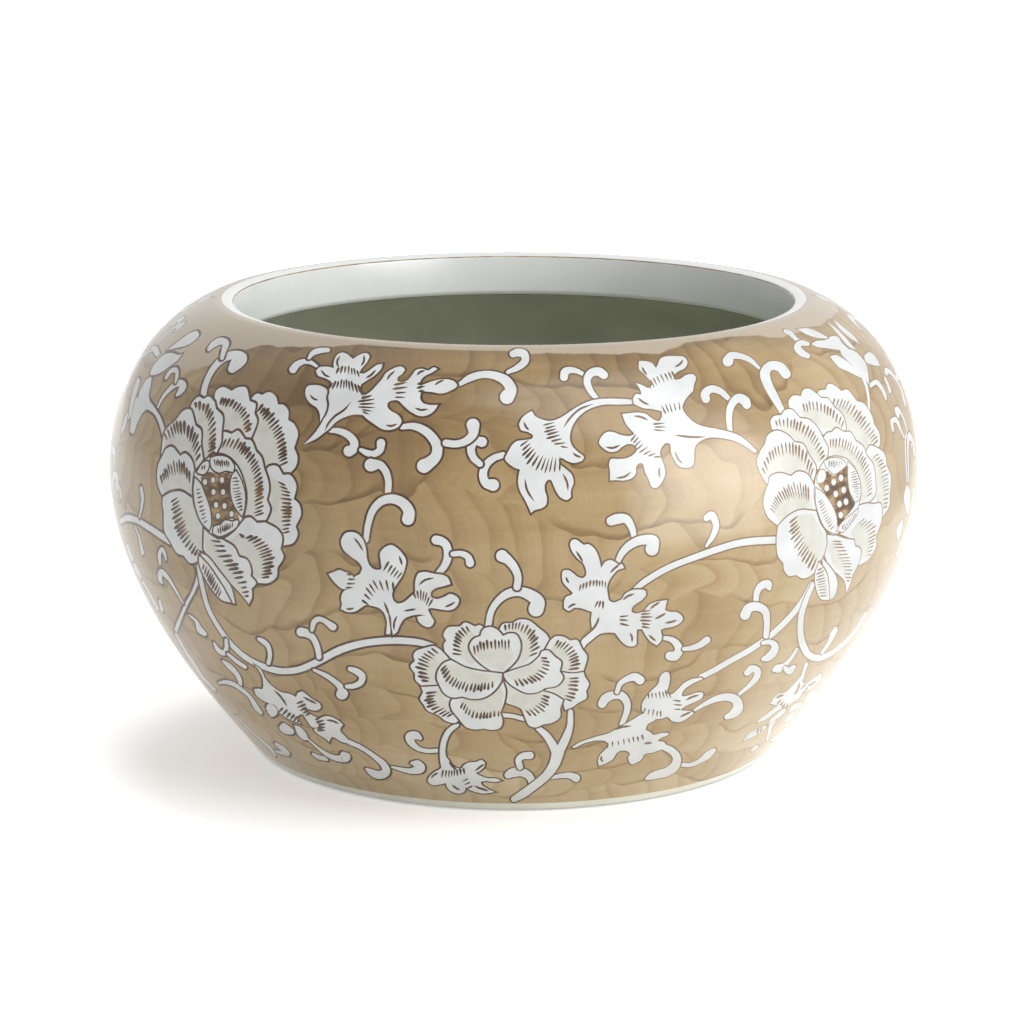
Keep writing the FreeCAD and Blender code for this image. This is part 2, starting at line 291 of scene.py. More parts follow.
def onto_wall(pixels):
    """Angle and length along the wall where the photo's pixels see the bowl."""
    spots = np.asarray(pixels, float)
    across = (spots[:, 0] - AXIS_X) / (PIXELS_PER_METRE * VIEW_DISTANCE)
    upward = (AXIS_Y - spots[:, 1]) / (PIXELS_PER_METRE * VIEW_DISTANCE)
    sine, cosine = math.sin(VIEW_RISE), math.cos(VIEW_RISE)
    eye = np.array([0, -VIEW_DISTANCE * cosine, BODY_HEIGHT / 2 + VIEW_DISTANCE * sine])
    ray = np.column_stack([across, cosine + upward * sine, upward * cosine - sine])
    nearest = -(eye[0] * ray[:, 0] + eye[1] * ray[:, 1]) / (ray[:, 0] ** 2 + ray[:, 1] ** 2)
    low, high = nearest - SEARCH_REACH, nearest.copy()
    for _ in range(SEARCH_STEPS):
        middle = (low + high) / 2
        place = eye + ray * middle[:, None]
        reach = np.interp(place[:, 2], wall_climb, wall[:, 0])
        outside = np.hypot(place[:, 0], place[:, 1]) > reach
        low = np.where(outside, middle, low)
        high = np.where(outside, high, middle)
    place = eye + ray * high[:, None]
    angle = np.arctan2(place[:, 0], -place[:, 1])
    run = np.interp(place[:, 2], wall_climb, wall_run)
    return np.column_stack([angle, np.clip(run, WALL_END_GAP, wall_length - WALL_END_GAP)])


# The painted shapes, kept in the order in which they cover each other
shapes = []
owners = 0


def add_shape(chart, label, owner, only_on=None):
    shapes.append((chart, label, owner, only_on))


def widened(chart, width):
    """The outline moved outward by a width on the wall."""
    radius = wall_radius(chart[:, 1])
    back = np.roll(chart, 1, axis=0)
    ahead = np.roll(chart, -1, axis=0)

    def normal(a, b):
        step = np.column_stack([(b[:, 0] - a[:, 0]) * radius, b[:, 1] - a[:, 1]])
        step /= np.linalg.norm(step, axis=1)[:, None] + TINIEST
        return np.column_stack([step[:, 1], -step[:, 0]])

    area = np.sum(back[:, 0] * chart[:, 1] - chart[:, 0] * back[:, 1])
    turn = 1 if area > 0 else -1
    both = normal(back, chart) + normal(chart, ahead)
    both /= np.clip(np.sum(both * both, axis=1), MITRE_LIMIT, None)[:, None] / 2
    moved = chart + turn * width * both / np.column_stack([radius, np.ones(len(chart))])
    moved[:, 1] = np.clip(moved[:, 1], OUTLINE_END_GAP, wall_length - OUTLINE_END_GAP)
    return moved


def boldness(angle, share, finest_angle):
    """How bold the brush is at this angle: more at the left, less at the right."""
    return 1 - share * np.clip(angle, BOLDEST_ANGLE, finest_angle)


def paint_group(outlines, line=OUTLINE_WIDTH):
    """White shapes that run into each other inside one brown outline."""
    global owners
    owners += 1
    charts = [onto_wall(o) for o in outlines]
    line *= boldness(np.mean(charts[0][:, 0]), BOLDER_AT_LEFT, FINEST_OUTLINE_ANGLE)
    for chart in charts:
        add_shape(widened(chart, line), LINE, owners)
    for chart in charts:
        add_shape(chart, WHITE, owners)
    return owners


def drawn_out(points):
    """The same run of points, a little longer at both ends."""
    ends = np.array(points, float)
    first, last = ends[0] - ends[1], ends[-1] - ends[-2]
    reach = LEAF_ROW_LONGER * np.hypot(*np.diff(ends, axis=0).T).sum()
    ends[0] += first / (np.hypot(*first) + TINY) * reach
    ends[-1] += last / (np.hypot(*last) + TINY) * reach
    return ends


def wobble(kind, stroke, owner):
    """The uneven hand: a small push that differs from stroke to stroke and from shape to shape."""
    size, stroke_pace, owner_pace = kind
    return size * math.sin(stroke_pace * stroke + owner_pace * owner)


def even_samples(points):
    """Places at even steps along the curve through the points."""
    curve = bend_through(points)
    run = run_along(curve)
    shares = np.linspace(0, 1, HATCH_SAMPLES)
    return np.column_stack([np.interp(shares * run[-1], run, curve[:, k]) for k in (0, 1)])


def paint_hatch(owner, inner, outer, count, width, longer=0.0):
    """Tapered strokes from one curve to another, evenly apart, kept on their own shape."""
    starts, ends = even_samples(inner), even_samples(outer)
    runs = (ends - starts) / (np.linalg.norm(ends - starts, axis=1)[:, None] + TINY)
    steps = np.diff((starts + ends) / 2, axis=0)
    apart = np.abs(steps[:, 0] * runs[1:, 1] - steps[:, 1] * runs[1:, 0])
    apart = apart + HATCH_SLANT_SHARE * np.hypot(*steps.T)
    apart = np.concatenate([[0], np.cumsum(apart)])
    count = max(FEWEST_HATCHES, min(count, int(apart[-1] / (CLOSEST_HATCH * width))))
    middle_angle = onto_wall([starts[HATCH_SAMPLES // 2]])[0, 0]
    width *= boldness(middle_angle, HATCH_BOLDER_AT_LEFT, FINEST_HATCH_ANGLE)
    for i in range(count):
        spot = (i + 0.5 + wobble(SPOT_WOBBLE, i, owner)) / count * apart[-1]
        start = np.array([np.interp(spot, apart, starts[:, k]) for k in (0, 1)])
        end = np.array([np.interp(spot, apart, ends[:, k]) for k in (0, 1)])
        run = end - start
        start = start - run * (LONGER_AT_START * longer + wobble(START_WOBBLE, i, owner))
        end = end + run * (LONGER_AT_END * longer + wobble(END_WOBBLE, i, owner))
        run = end - start
        side = np.array([-run[1], run[0]]) / (np.hypot(*run) + TINY)
        half = width * (MEAN_HATCH_WIDTH + wobble(WIDTH_WOBBLE, i, owner)) / 2
        side[0] *= narrowing(onto_wall([(start + end) / 2])[0, 0], NARROWEST_HATCH)
        left = [start + share * run - side * thick * half for share, thick in HATCH_TAPER]
        right = [start + share * run + side * thick * half for share, thick in reversed(HATCH_TAPER)]
        add_shape(onto_wall(left + right), LINE, owner, owner)


def paint_vein(owner, points):
    """A thin brown line that tapers at both ends."""
    dense = bend_through(points)
    share = np.linspace(0, 1, len(dense))
    widths = VEIN_WIDTH * np.clip(np.sin(math.pi * share) * VEIN_SWELL, VEIN_TIP, 1)
    outline = stroke_outline(np.column_stack([dense, widths])[::VEIN_STEP])
    add_shape(onto_wall(outline), LINE, owner, owner)


def paint_petal(outline, inner, outer, count, base, width=PETAL_HATCH_WIDTH):
    """One petal with its creamy heart and its row of hatch strokes."""
    owner = paint_group([closed_outline(outline)])
    near = bend_through(inner)[::HEART_STEP, :2]
    far = bend_through(outer)
    pick = np.linspace(0, len(far) - 1, len(near)).astype(int)
    heart = np.vstack([(1 - HEART_SHARE) * near + HEART_SHARE * far[pick], np.array(base, float)])
    add_shape(onto_wall(heart), CREAM, owner, owner)
    paint_hatch(owner, inner, outer, max(FEWEST_HATCHES, round(count * PETAL_HATCH_SHARE)), width)


def paint_spray(leaves, hatches=(), veins=(), stems=()):
    """Leaves and stems joined in one outline, with hatch strokes where leaves join, and veins."""
    owner = paint_group([closed_outline(leaf) for leaf in leaves] + [stroke_outline(stem) for stem in stems])
    for inner, outer, count in hatches:
        count = max(FEWEST_LEAF_HATCHES, round(count * LEAF_HATCH_SHARE))
        paint_hatch(owner, drawn_out(inner), drawn_out(outer), count, LEAF_HATCH_WIDTH, LEAF_HATCH_LONGER)
    for points in veins:
        paint_vein(owner, points)


def paint_pod(outline, middle, petals, dots, dot_size):
    """The seed pod in the middle of a flower: small petals round a brown field with white dots."""
    owner = paint_group([closed_outline(outline)], POD_OUTLINE_WIDTH)
    add_shape(onto_wall(closed_outline(middle)), FIELD, owner, owner)
    turns = np.linspace(0, FULL_TURN, DOT_POINTS, endpoint=False)
    for x, y in dots:
        ring = np.column_stack([x + dot_size * np.cos(turns), y + DOT_STRETCH * dot_size * np.sin(turns)])
        chart = onto_wall(ring)
        add_shape(widened(chart, OUTLINE_WIDTH / 2), LINE, owner)
        add_shape(chart, WHITE, owner)
    for shape, inner, outer, count in petals:
        small = paint_group([closed_outline(shape)], SMALL_PETAL_OUTLINE_WIDTH)
        if count:
            paint_hatch(small, inner, outer, count, POD_HATCH_WIDTH)


def paint_peony(petals, leaf, low_petal, pod):
    """A large peony: its petals, a leaf, the low petal over that leaf, and the seed pod."""
    for petal in petals:
        paint_petal(*petal)
    paint_spray([leaf])
    paint_petal(*low_petal)
    paint_pod(*pod)


# Vines and curled tendrils, as brush strokes of x, y and width in the photo's pixels
VINE_STROKES = [
    [(706.5, 546, 2.5), (713, 536, 5), (716, 525, 6), (711.5, 515, 7), (706.5, 518, 6)],
    [(121, 521, 5), (127, 518, 6), (136, 520, 5.5), (148, 527, 5.5), (160, 535, 6), (170, 542, 5)],
    [(141, 488, 3.5), (142.5, 497, 4), (141.5, 508, 3), (139.5, 517, 2)],
    [(134.5, 526, 1.5), (138.5, 535, 2.5), (141, 546, 4), (142.5, 553, 4.5)],
    [(118, 482, 3), (120, 490, 3), (121.5, 498, 2.5)],
    [(127.5, 545, 3), (130, 553, 4), (133, 561, 3)],
    [(134, 564, 3), (137, 570, 5), (140.5, 577, 3)],
    [(143, 582, 2.5), (148, 591, 3), (154, 602, 3), (158, 609, 2.5)],
    [(159.5, 601, 3), (162, 610, 4)],
    [(911.5, 447, 2), (910.5, 438, 3), (907.5, 431.5, 3.5), (905.5, 438, 3), (905.5, 452, 2.5),
     (906.5, 470, 2.5), (907.5, 482, 3)],
    [(914, 488, 2), (913.3, 497, 2.5), (911.5, 511, 2.5), (907.5, 526, 3), (902.5, 541, 3.5),
     (897, 554, 3)],
    [(196, 562, 4), (198.5, 575, 4), (194, 590, 3), (186, 605, 3.2), (180, 620, 3), (175.5, 633, 4)],
    [(176, 634, 2.5), (186, 652, 3), (194, 664, 3.5), (203, 678, 3), (215, 690, 2.5)],
    [(198, 562, 3), (200, 575, 4), (203, 590, 4), (208, 608, 4), (217, 625, 4), (230, 643, 4.5),
     (245, 657, 5), (262, 666, 5.5), (280, 671, 6), (297, 670, 6), (315, 663, 6.5), (340, 650, 7),
     (365, 643, 6.5), (395, 640.5, 6.5), (420, 642.5, 6), (433, 646, 4.5)],
    [(183, 603, 1.5), (176, 591, 2.5), (168, 578, 3.5), (161, 572, 6), (160, 579, 5), (162, 583, 2)],
    [(160, 564, 2.5), (159.5, 554, 4), (162, 549, 3.5), (165, 555, 3), (166, 560, 1.5)],
    [(189, 615, 1.5), (196, 621, 3), (200, 630, 6), (205, 634, 4)],
    [(226, 640, 3), (226.5, 648, 4), (224, 653, 5), (218, 650, 4), (214, 643, 2)],
    [(228, 654, 2.5), (236, 661, 3.5), (245, 667, 3.5)],
    [(223, 661, 2), (229, 666, 5), (236, 673, 4.5), (240, 681, 4), (240, 688, 3)],
    [(219, 683, 2), (224, 682, 3.5), (233, 684, 4), (241, 689, 3.5), (250, 697, 3.5), (256, 707, 5),
     (261, 713, 3)],
    [(268.5, 663, 4), (270, 655, 4), (268, 646, 4.5), (264, 642, 5), (259, 639, 3.5)],
    [(319, 657, 5), (317.5, 648, 5.5), (313, 638, 6), (306, 633, 8), (301, 632, 9)],
    [(312, 630, 3.5), (314, 622, 5), (318.5, 619, 5), (324, 620.5, 4.5), (329, 624, 6), (333, 627, 7)],
    [(314, 670, 2.5), (325, 675, 4.5), (334, 681, 5), (341, 688, 7), (342, 693.5, 12)],
    [(347, 686.5, 4), (354, 686, 5), (361, 682, 6), (362, 676, 6.5), (356, 671, 6), (350, 669, 4.5)],
    [(392, 767, 2), (400, 769, 3.5), (411, 771, 5.5), (420, 768, 10), (417, 764, 8), (412, 763, 3)],
    [(438, 750.5, 4), (428, 751, 4), (418, 748.5, 4.5), (411, 742, 7), (410, 737, 9), (416, 735.5, 8),
     (420, 738, 4)],
    [(313, 754, 2.5), (318, 757, 4), (324, 758.5, 4), (327, 760, 2)],
    [(276, 744, 3), (283, 749, 5), (288, 754, 4), (275, 751, 2)],
    [(330, 430.5, 4), (339, 431, 6), (348, 435, 7), (354, 442, 8), (353, 449, 9), (349, 451, 11)],
    [(361, 450, 4), (367, 453, 6), (374, 454, 6.5), (380, 450, 7), (381, 443, 8.5)],
    [(388, 492, 6), (388.5, 482, 6.5), (386, 472, 7), (380, 465, 8), (371, 465, 13)],
    [(402, 427, 5), (412, 426, 6.5), (422, 429, 8), (431, 436, 9), (437, 446, 10), (436, 456, 10.5),
     (429, 463, 12), (424, 466, 14)],
    [(236, 716, 1.4), (248, 728, 1.6), (261, 740, 1.8), (270, 748, 3), (275, 755, 2.4)],
    [(293, 369.5, 7.5), (297, 364.5, 6.5), (304, 361.5, 5), (311, 362.5, 4), (317, 366.5, 2.5)],
    [(309, 358, 3), (313, 353, 5), (320, 350.5, 5.5), (328, 350, 4)],
    [(366, 540, 5), (368, 525, 6), (373, 510, 7), (382, 501, 8), (394, 499, 9), (404, 504, 10),
     (409, 512, 11), (408, 519, 12)],
    [(438, 574, 6), (445, 565, 7), (448, 555, 8), (446, 545, 8), (441, 541, 8.5), (436, 540, 9)],
    [(453, 554, 5), (461, 553.5, 5.5), (468, 557, 6.5), (470, 563, 8)],
    [(488, 628, 6), (491, 612, 6), (497, 602, 6.5), (507, 594, 8), (519, 591.5, 9), (530, 595, 11),
     (538, 602, 13), (536, 609, 15)],
    [(517, 587, 7), (518, 577, 7), (514, 567, 8), (508, 560, 9), (502, 556, 12)],
    [(503, 455, 6), (494, 458, 6.5), (486, 465, 7.5), (483, 475, 8), (486, 483, 9), (493, 485, 12)],
    [(480, 464, 6), (473, 457, 7), (471, 448, 8), (475, 441, 8), (482, 442, 10)],
    [(446, 443, 7), (456, 444, 7), (466, 441, 7.5), (473, 434, 9), (473, 425, 13)],
    [(460, 384, 4), (470, 378, 7), (482, 374.5, 7), (495, 375.5, 8), (506, 381, 10), (511, 390, 11),
     (507, 397, 14)],
    [(508, 372, 4), (517, 368, 6), (525, 361, 7.5), (524, 354, 8), (517, 352.5, 8), (513, 354, 7)],
    [(583, 374, 4), (577, 371, 5), (570, 370, 6.5), (565, 372, 8), (564, 377, 8)],
    [(598, 400, 4), (590, 390, 6), (587, 380, 7), (591, 373, 8), (599, 371.5, 8.5), (604, 375, 8)],
    [(728, 398, 5), (720, 391, 6.5), (711, 389, 7.5), (705, 394, 8.5), (706, 399, 8)],
    [(730, 431, 5), (729, 418, 6), (731, 406, 7), (738, 398, 8.5), (745, 401, 9.5), (747, 405, 8)],
    [(759, 368, 3), (750, 360, 5), (740, 356, 6), (731, 356, 8), (728, 361, 11)],
    [(782, 411, 6), (775, 398, 8), (768, 385, 9), (765, 373, 10), (770, 366, 9), (780, 367, 9.5),
     (786, 374, 9.5)],
    [(634, 537, 5), (632, 528, 6.5), (626, 519, 8.5), (617, 519, 10), (611, 521, 9)],
    [(776, 540, 7), (755, 541, 7), (735, 544, 6.5), (690, 559, 6), (670, 567, 6), (655, 575, 6),
     (643, 583, 6), (634, 590, 4)],
    [(618, 561, 5), (622, 553, 6.5), (630, 545, 8), (642, 540, 9), (653, 541, 11), (652, 549, 13)],
    [(663, 638, 4), (670, 639, 5), (676, 643, 7), (679, 650, 8), (675, 656, 9), (670, 656, 9)],
    [(684, 649, 4), (692, 648, 5), (700, 645, 6), (707, 640, 7)],
    [(681, 764.5, 4), (690, 765, 4), (700, 761, 4.5), (708, 755, 7), (714, 750, 4)],
    [(622, 724, 5), (627, 711, 6), (627, 703, 7), (622, 696, 8), (613, 695, 8), (605, 699, 9),
     (602, 704, 8)],
    [(617, 692, 4.5), (620, 684, 5), (627, 679, 6), (635, 677, 8), (640, 680, 9)],
    [(695, 710, 2.5), (705, 704, 4), (716, 699, 6), (727, 697, 7.5), (736, 700, 9), (738, 708, 10),
     (733, 714, 8), (727, 717, 5)],
    [(701, 677, 5), (715, 670, 5.5), (730, 661, 5.5), (750, 650, 5.5), (770, 636, 5.5), (790, 617, 5.5),
     (803, 600, 5), (812, 583, 4.5)],
    [(739.5, 694, 3), (748, 687, 4), (756, 678, 6), (757.5, 671, 7), (752, 668.5, 7), (747, 673, 6)],
    [(756, 600, 5.5), (757, 592, 6), (761, 586, 7), (768, 584, 8), (769, 588, 5)],
    [(766, 636, 5.5), (767, 622, 6), (765, 611, 7.5), (757, 606.5, 8.5), (749, 608, 9), (745, 615, 10)],
    [(763, 643, 4), (770, 642, 5), (775, 646, 7), (773, 653, 8), (767, 658, 7), (763, 659, 4)],
    [(813, 584, 4), (806, 600, 5), (801.5, 615, 5.5), (800.5, 632, 6), (803, 645, 7), (809, 655, 7),
     (818, 658, 6.5), (828, 655, 5), (842, 645, 4.5), (856, 630, 4), (866, 613, 3)],
    [(797, 649, 3), (792, 657, 3.5), (785, 665, 4.5), (777, 669, 8), (774, 670, 4)],
    [(785, 668, 4), (789, 671, 7), (794, 667, 4)],
    [(822, 653, 3), (829, 643, 4), (833, 634, 5.5), (836, 629, 5), (831, 635, 3)],
    [(533, 785, 6.5), (529, 776, 7.5), (521, 772, 8.5), (512, 773, 9), (508, 775, 7)],
    [(520, 767, 6), (518.5, 760, 6), (523, 756, 6.5), (530, 755.5, 7.5)],
    [(550, 778, 3), (560, 776, 4.5), (570, 775.5, 6), (576, 778, 8)],
    [(203, 399, 6), (205, 386, 6), (210, 374, 6), (217, 364, 6.5), (226, 357, 7.5), (236, 355, 9),
     (241, 358, 12), (236, 364, 12), (232, 369, 8)],
    [(222, 358, 4), (224, 350, 5.5), (226, 343, 7), (221, 341, 7), (214, 344, 6.5), (209, 349, 4.5)],
    [(157, 409, 2), (163, 397, 3.5), (171, 388, 4.5), (179, 383, 6.5), (183, 385, 8), (180, 392, 6),
     (177, 395, 3)],
    [(175.5, 382, 2.5), (177, 375, 4.5), (176, 370, 5), (171, 371, 4.5), (166, 378, 3.5)],
    [(871, 385, 5), (876, 382, 5), (881, 387, 5), (885, 395, 5), (886, 399, 3)],
    [(885, 378, 3), (888, 385, 4), (890, 391, 5)],
    [(785, 331, 4), (790, 333, 5), (796, 339, 4), (800, 341, 3)],
    [(808, 344, 4), (801, 343, 6), (797, 347, 7), (802, 353, 7), (808, 356, 5)],
    [(904, 437, 2.5), (900, 428, 3.5), (896, 420, 6), (892, 421, 5.5), (893, 430, 4)],
    [(752, 750.5, 2.5), (757, 746.5, 3.5)],
    [(500, 715, 4), (512, 716, 4), (524, 719, 4)]]

# The forked stem below the small peony, as brush strokes
FORKED_STEM_STROKES = [
    [(514, 799, 6), (523, 794, 8), (534, 786, 8), (546, 776, 8.5), (554, 765, 10), (558, 752, 12)],
    [(557, 754, 9), (551, 742, 7.5), (545, 734, 6.5), (538, 728, 5)],
    [(558, 754, 9), (566, 738, 8), (570, 726, 6), (570.5, 712, 5)]]

# Outer leaves that turn away at both sides: leaf outlines, hatch rows, veins and stems
OUTER_LEAF_SPRAYS = [
    ([[(163, 440, 1), (160, 427), (155, 415), (149, 410), (141, 408), (138, 402), (139, 394), (143, 385),
       (147, 379), (151, 377), (151, 384), (149, 394), (150, 401), (155, 408), (161, 418), (165, 432)],
      [(150, 375, 1), (152, 368), (158, 360), (165, 354), (173, 353), (178, 355), (182, 354, 1),
       (178, 360), (170, 366), (162, 372), (155, 375)],
      [(130, 432, 1), (131, 418), (134, 405), (137, 397), (139, 404), (146, 409), (142, 414), (137, 424),
       (133, 434)],
      [(128, 420, 1), (130, 405), (133, 390), (138, 378), (140, 380), (137, 392), (133, 406), (130, 418)]],),
    ([[(167, 350, 1), (175, 344), (184, 337), (190, 333), (197, 331), (199, 335), (194, 341), (185, 346),
       (176, 348)]],),
    ([[(121, 435, 1), (124, 420), (128, 412), (126, 425)]],),
    ([[(840, 350, 1), (848, 349), (856, 352), (862, 358), (866, 364), (868, 372), (869, 385, 1),
       (866, 380), (862, 374), (856, 368), (848, 361), (842, 355)],
      [(830, 356, 1), (836, 355), (842, 358), (850, 363), (858, 371), (861, 378, 1), (855, 375),
       (847, 371), (840, 368), (834, 362)],
      [(811, 344, 1), (816, 341), (825, 340), (832, 336), (838, 337), (842, 343), (848, 349), (840, 350),
       (832, 349), (825, 348), (817, 347)]], [], [],
     [[(869, 414, 3), (868.5, 398, 3.5), (866, 385, 4), (861, 373, 5), (855, 363, 7)]]),
    ([[(797, 329, 1), (806, 328), (814, 330), (822, 334), (828, 338), (818, 338), (808, 335), (802, 332)]],),
    ([[(827, 322, 1), (836, 328), (846, 338), (856, 350, 1), (848, 346), (838, 334)]],),
    ([[(833, 319, 1), (842, 326), (853, 335), (860, 344, 1), (850, 338), (840, 329)]],),
    ([[(864, 356, 1), (869, 352), (874, 355), (878, 361), (880, 366, 1), (873, 365), (866, 362)]],),
    ([[(801, 676, 1), (797, 681), (791, 687), (786, 692), (778, 694), (773, 699), (770, 704, 1),
       (775, 705), (779, 704.5, 1), (772, 710), (765, 715), (760, 719), (756, 723, 1), (763, 721),
       (770, 717), (776, 712), (783, 707.5), (788, 706), (793, 702), (798, 699), (802, 693), (803.5, 685)],
      [(802, 684, 1), (809, 682), (815, 677), (821, 673, 1), (822, 677), (818, 682), (811, 689),
       (804, 692), (800, 692)]],
     [([(781, 700), (788, 704), (793, 703)], [(778, 703), (785, 708), (790, 707)], 6),
      ([(800, 688), (804, 692)], [(804, 684), (808, 688)], 4)],
     [[(800, 682), (798, 689), (794, 695)], [(816, 681), (812, 684), (808, 686)],
      [(776, 698), (780, 696), (784, 695)]], [[(806.5, 664, 3.5), (804, 671, 3), (802, 678, 3.5)]]),
    ([[(785, 708, 1), (778, 713), (771, 719), (768, 724, 1), (773, 722), (777, 719), (782, 715),
       (786, 710)]],),
    ([[(742.5, 741.5, 1), (747, 735), (753, 731), (760, 728), (765, 725.5), (767, 727, 1), (762, 731),
       (755, 736), (748, 739.5)]], [([(758, 728), (764, 727)], [(756, 733), (762, 730)], 3)]),
    ([[(769, 725, 1), (776, 720), (772, 728), (770.5, 735), (767, 741.5, 1), (766, 740), (767.5, 733)]],),
    ([[(770, 740, 1), (776, 736), (784, 729.5, 1), (779, 736), (772, 741)]],),
    ([[(804, 703, 1), (806, 697), (811, 692), (817, 689.5, 1), (814, 695), (809, 700)]],),
    ([[(788, 713, 1), (791, 707), (797, 703), (803, 702, 1), (800, 706), (794, 710)]],),
    ([[(784, 722, 1), (788, 716), (795, 711.5, 1), (793, 716), (788, 721)]],),
    ([[(907, 484, 1), (909.5, 490), (910, 500), (909, 511), (907.5, 515, 1), (905, 506), (904, 497),
       (905, 490)]],),
    ([[(897.5, 541, 1), (896.5, 532), (899, 524), (903, 519, 1), (902, 529), (899.5, 537)]],)]

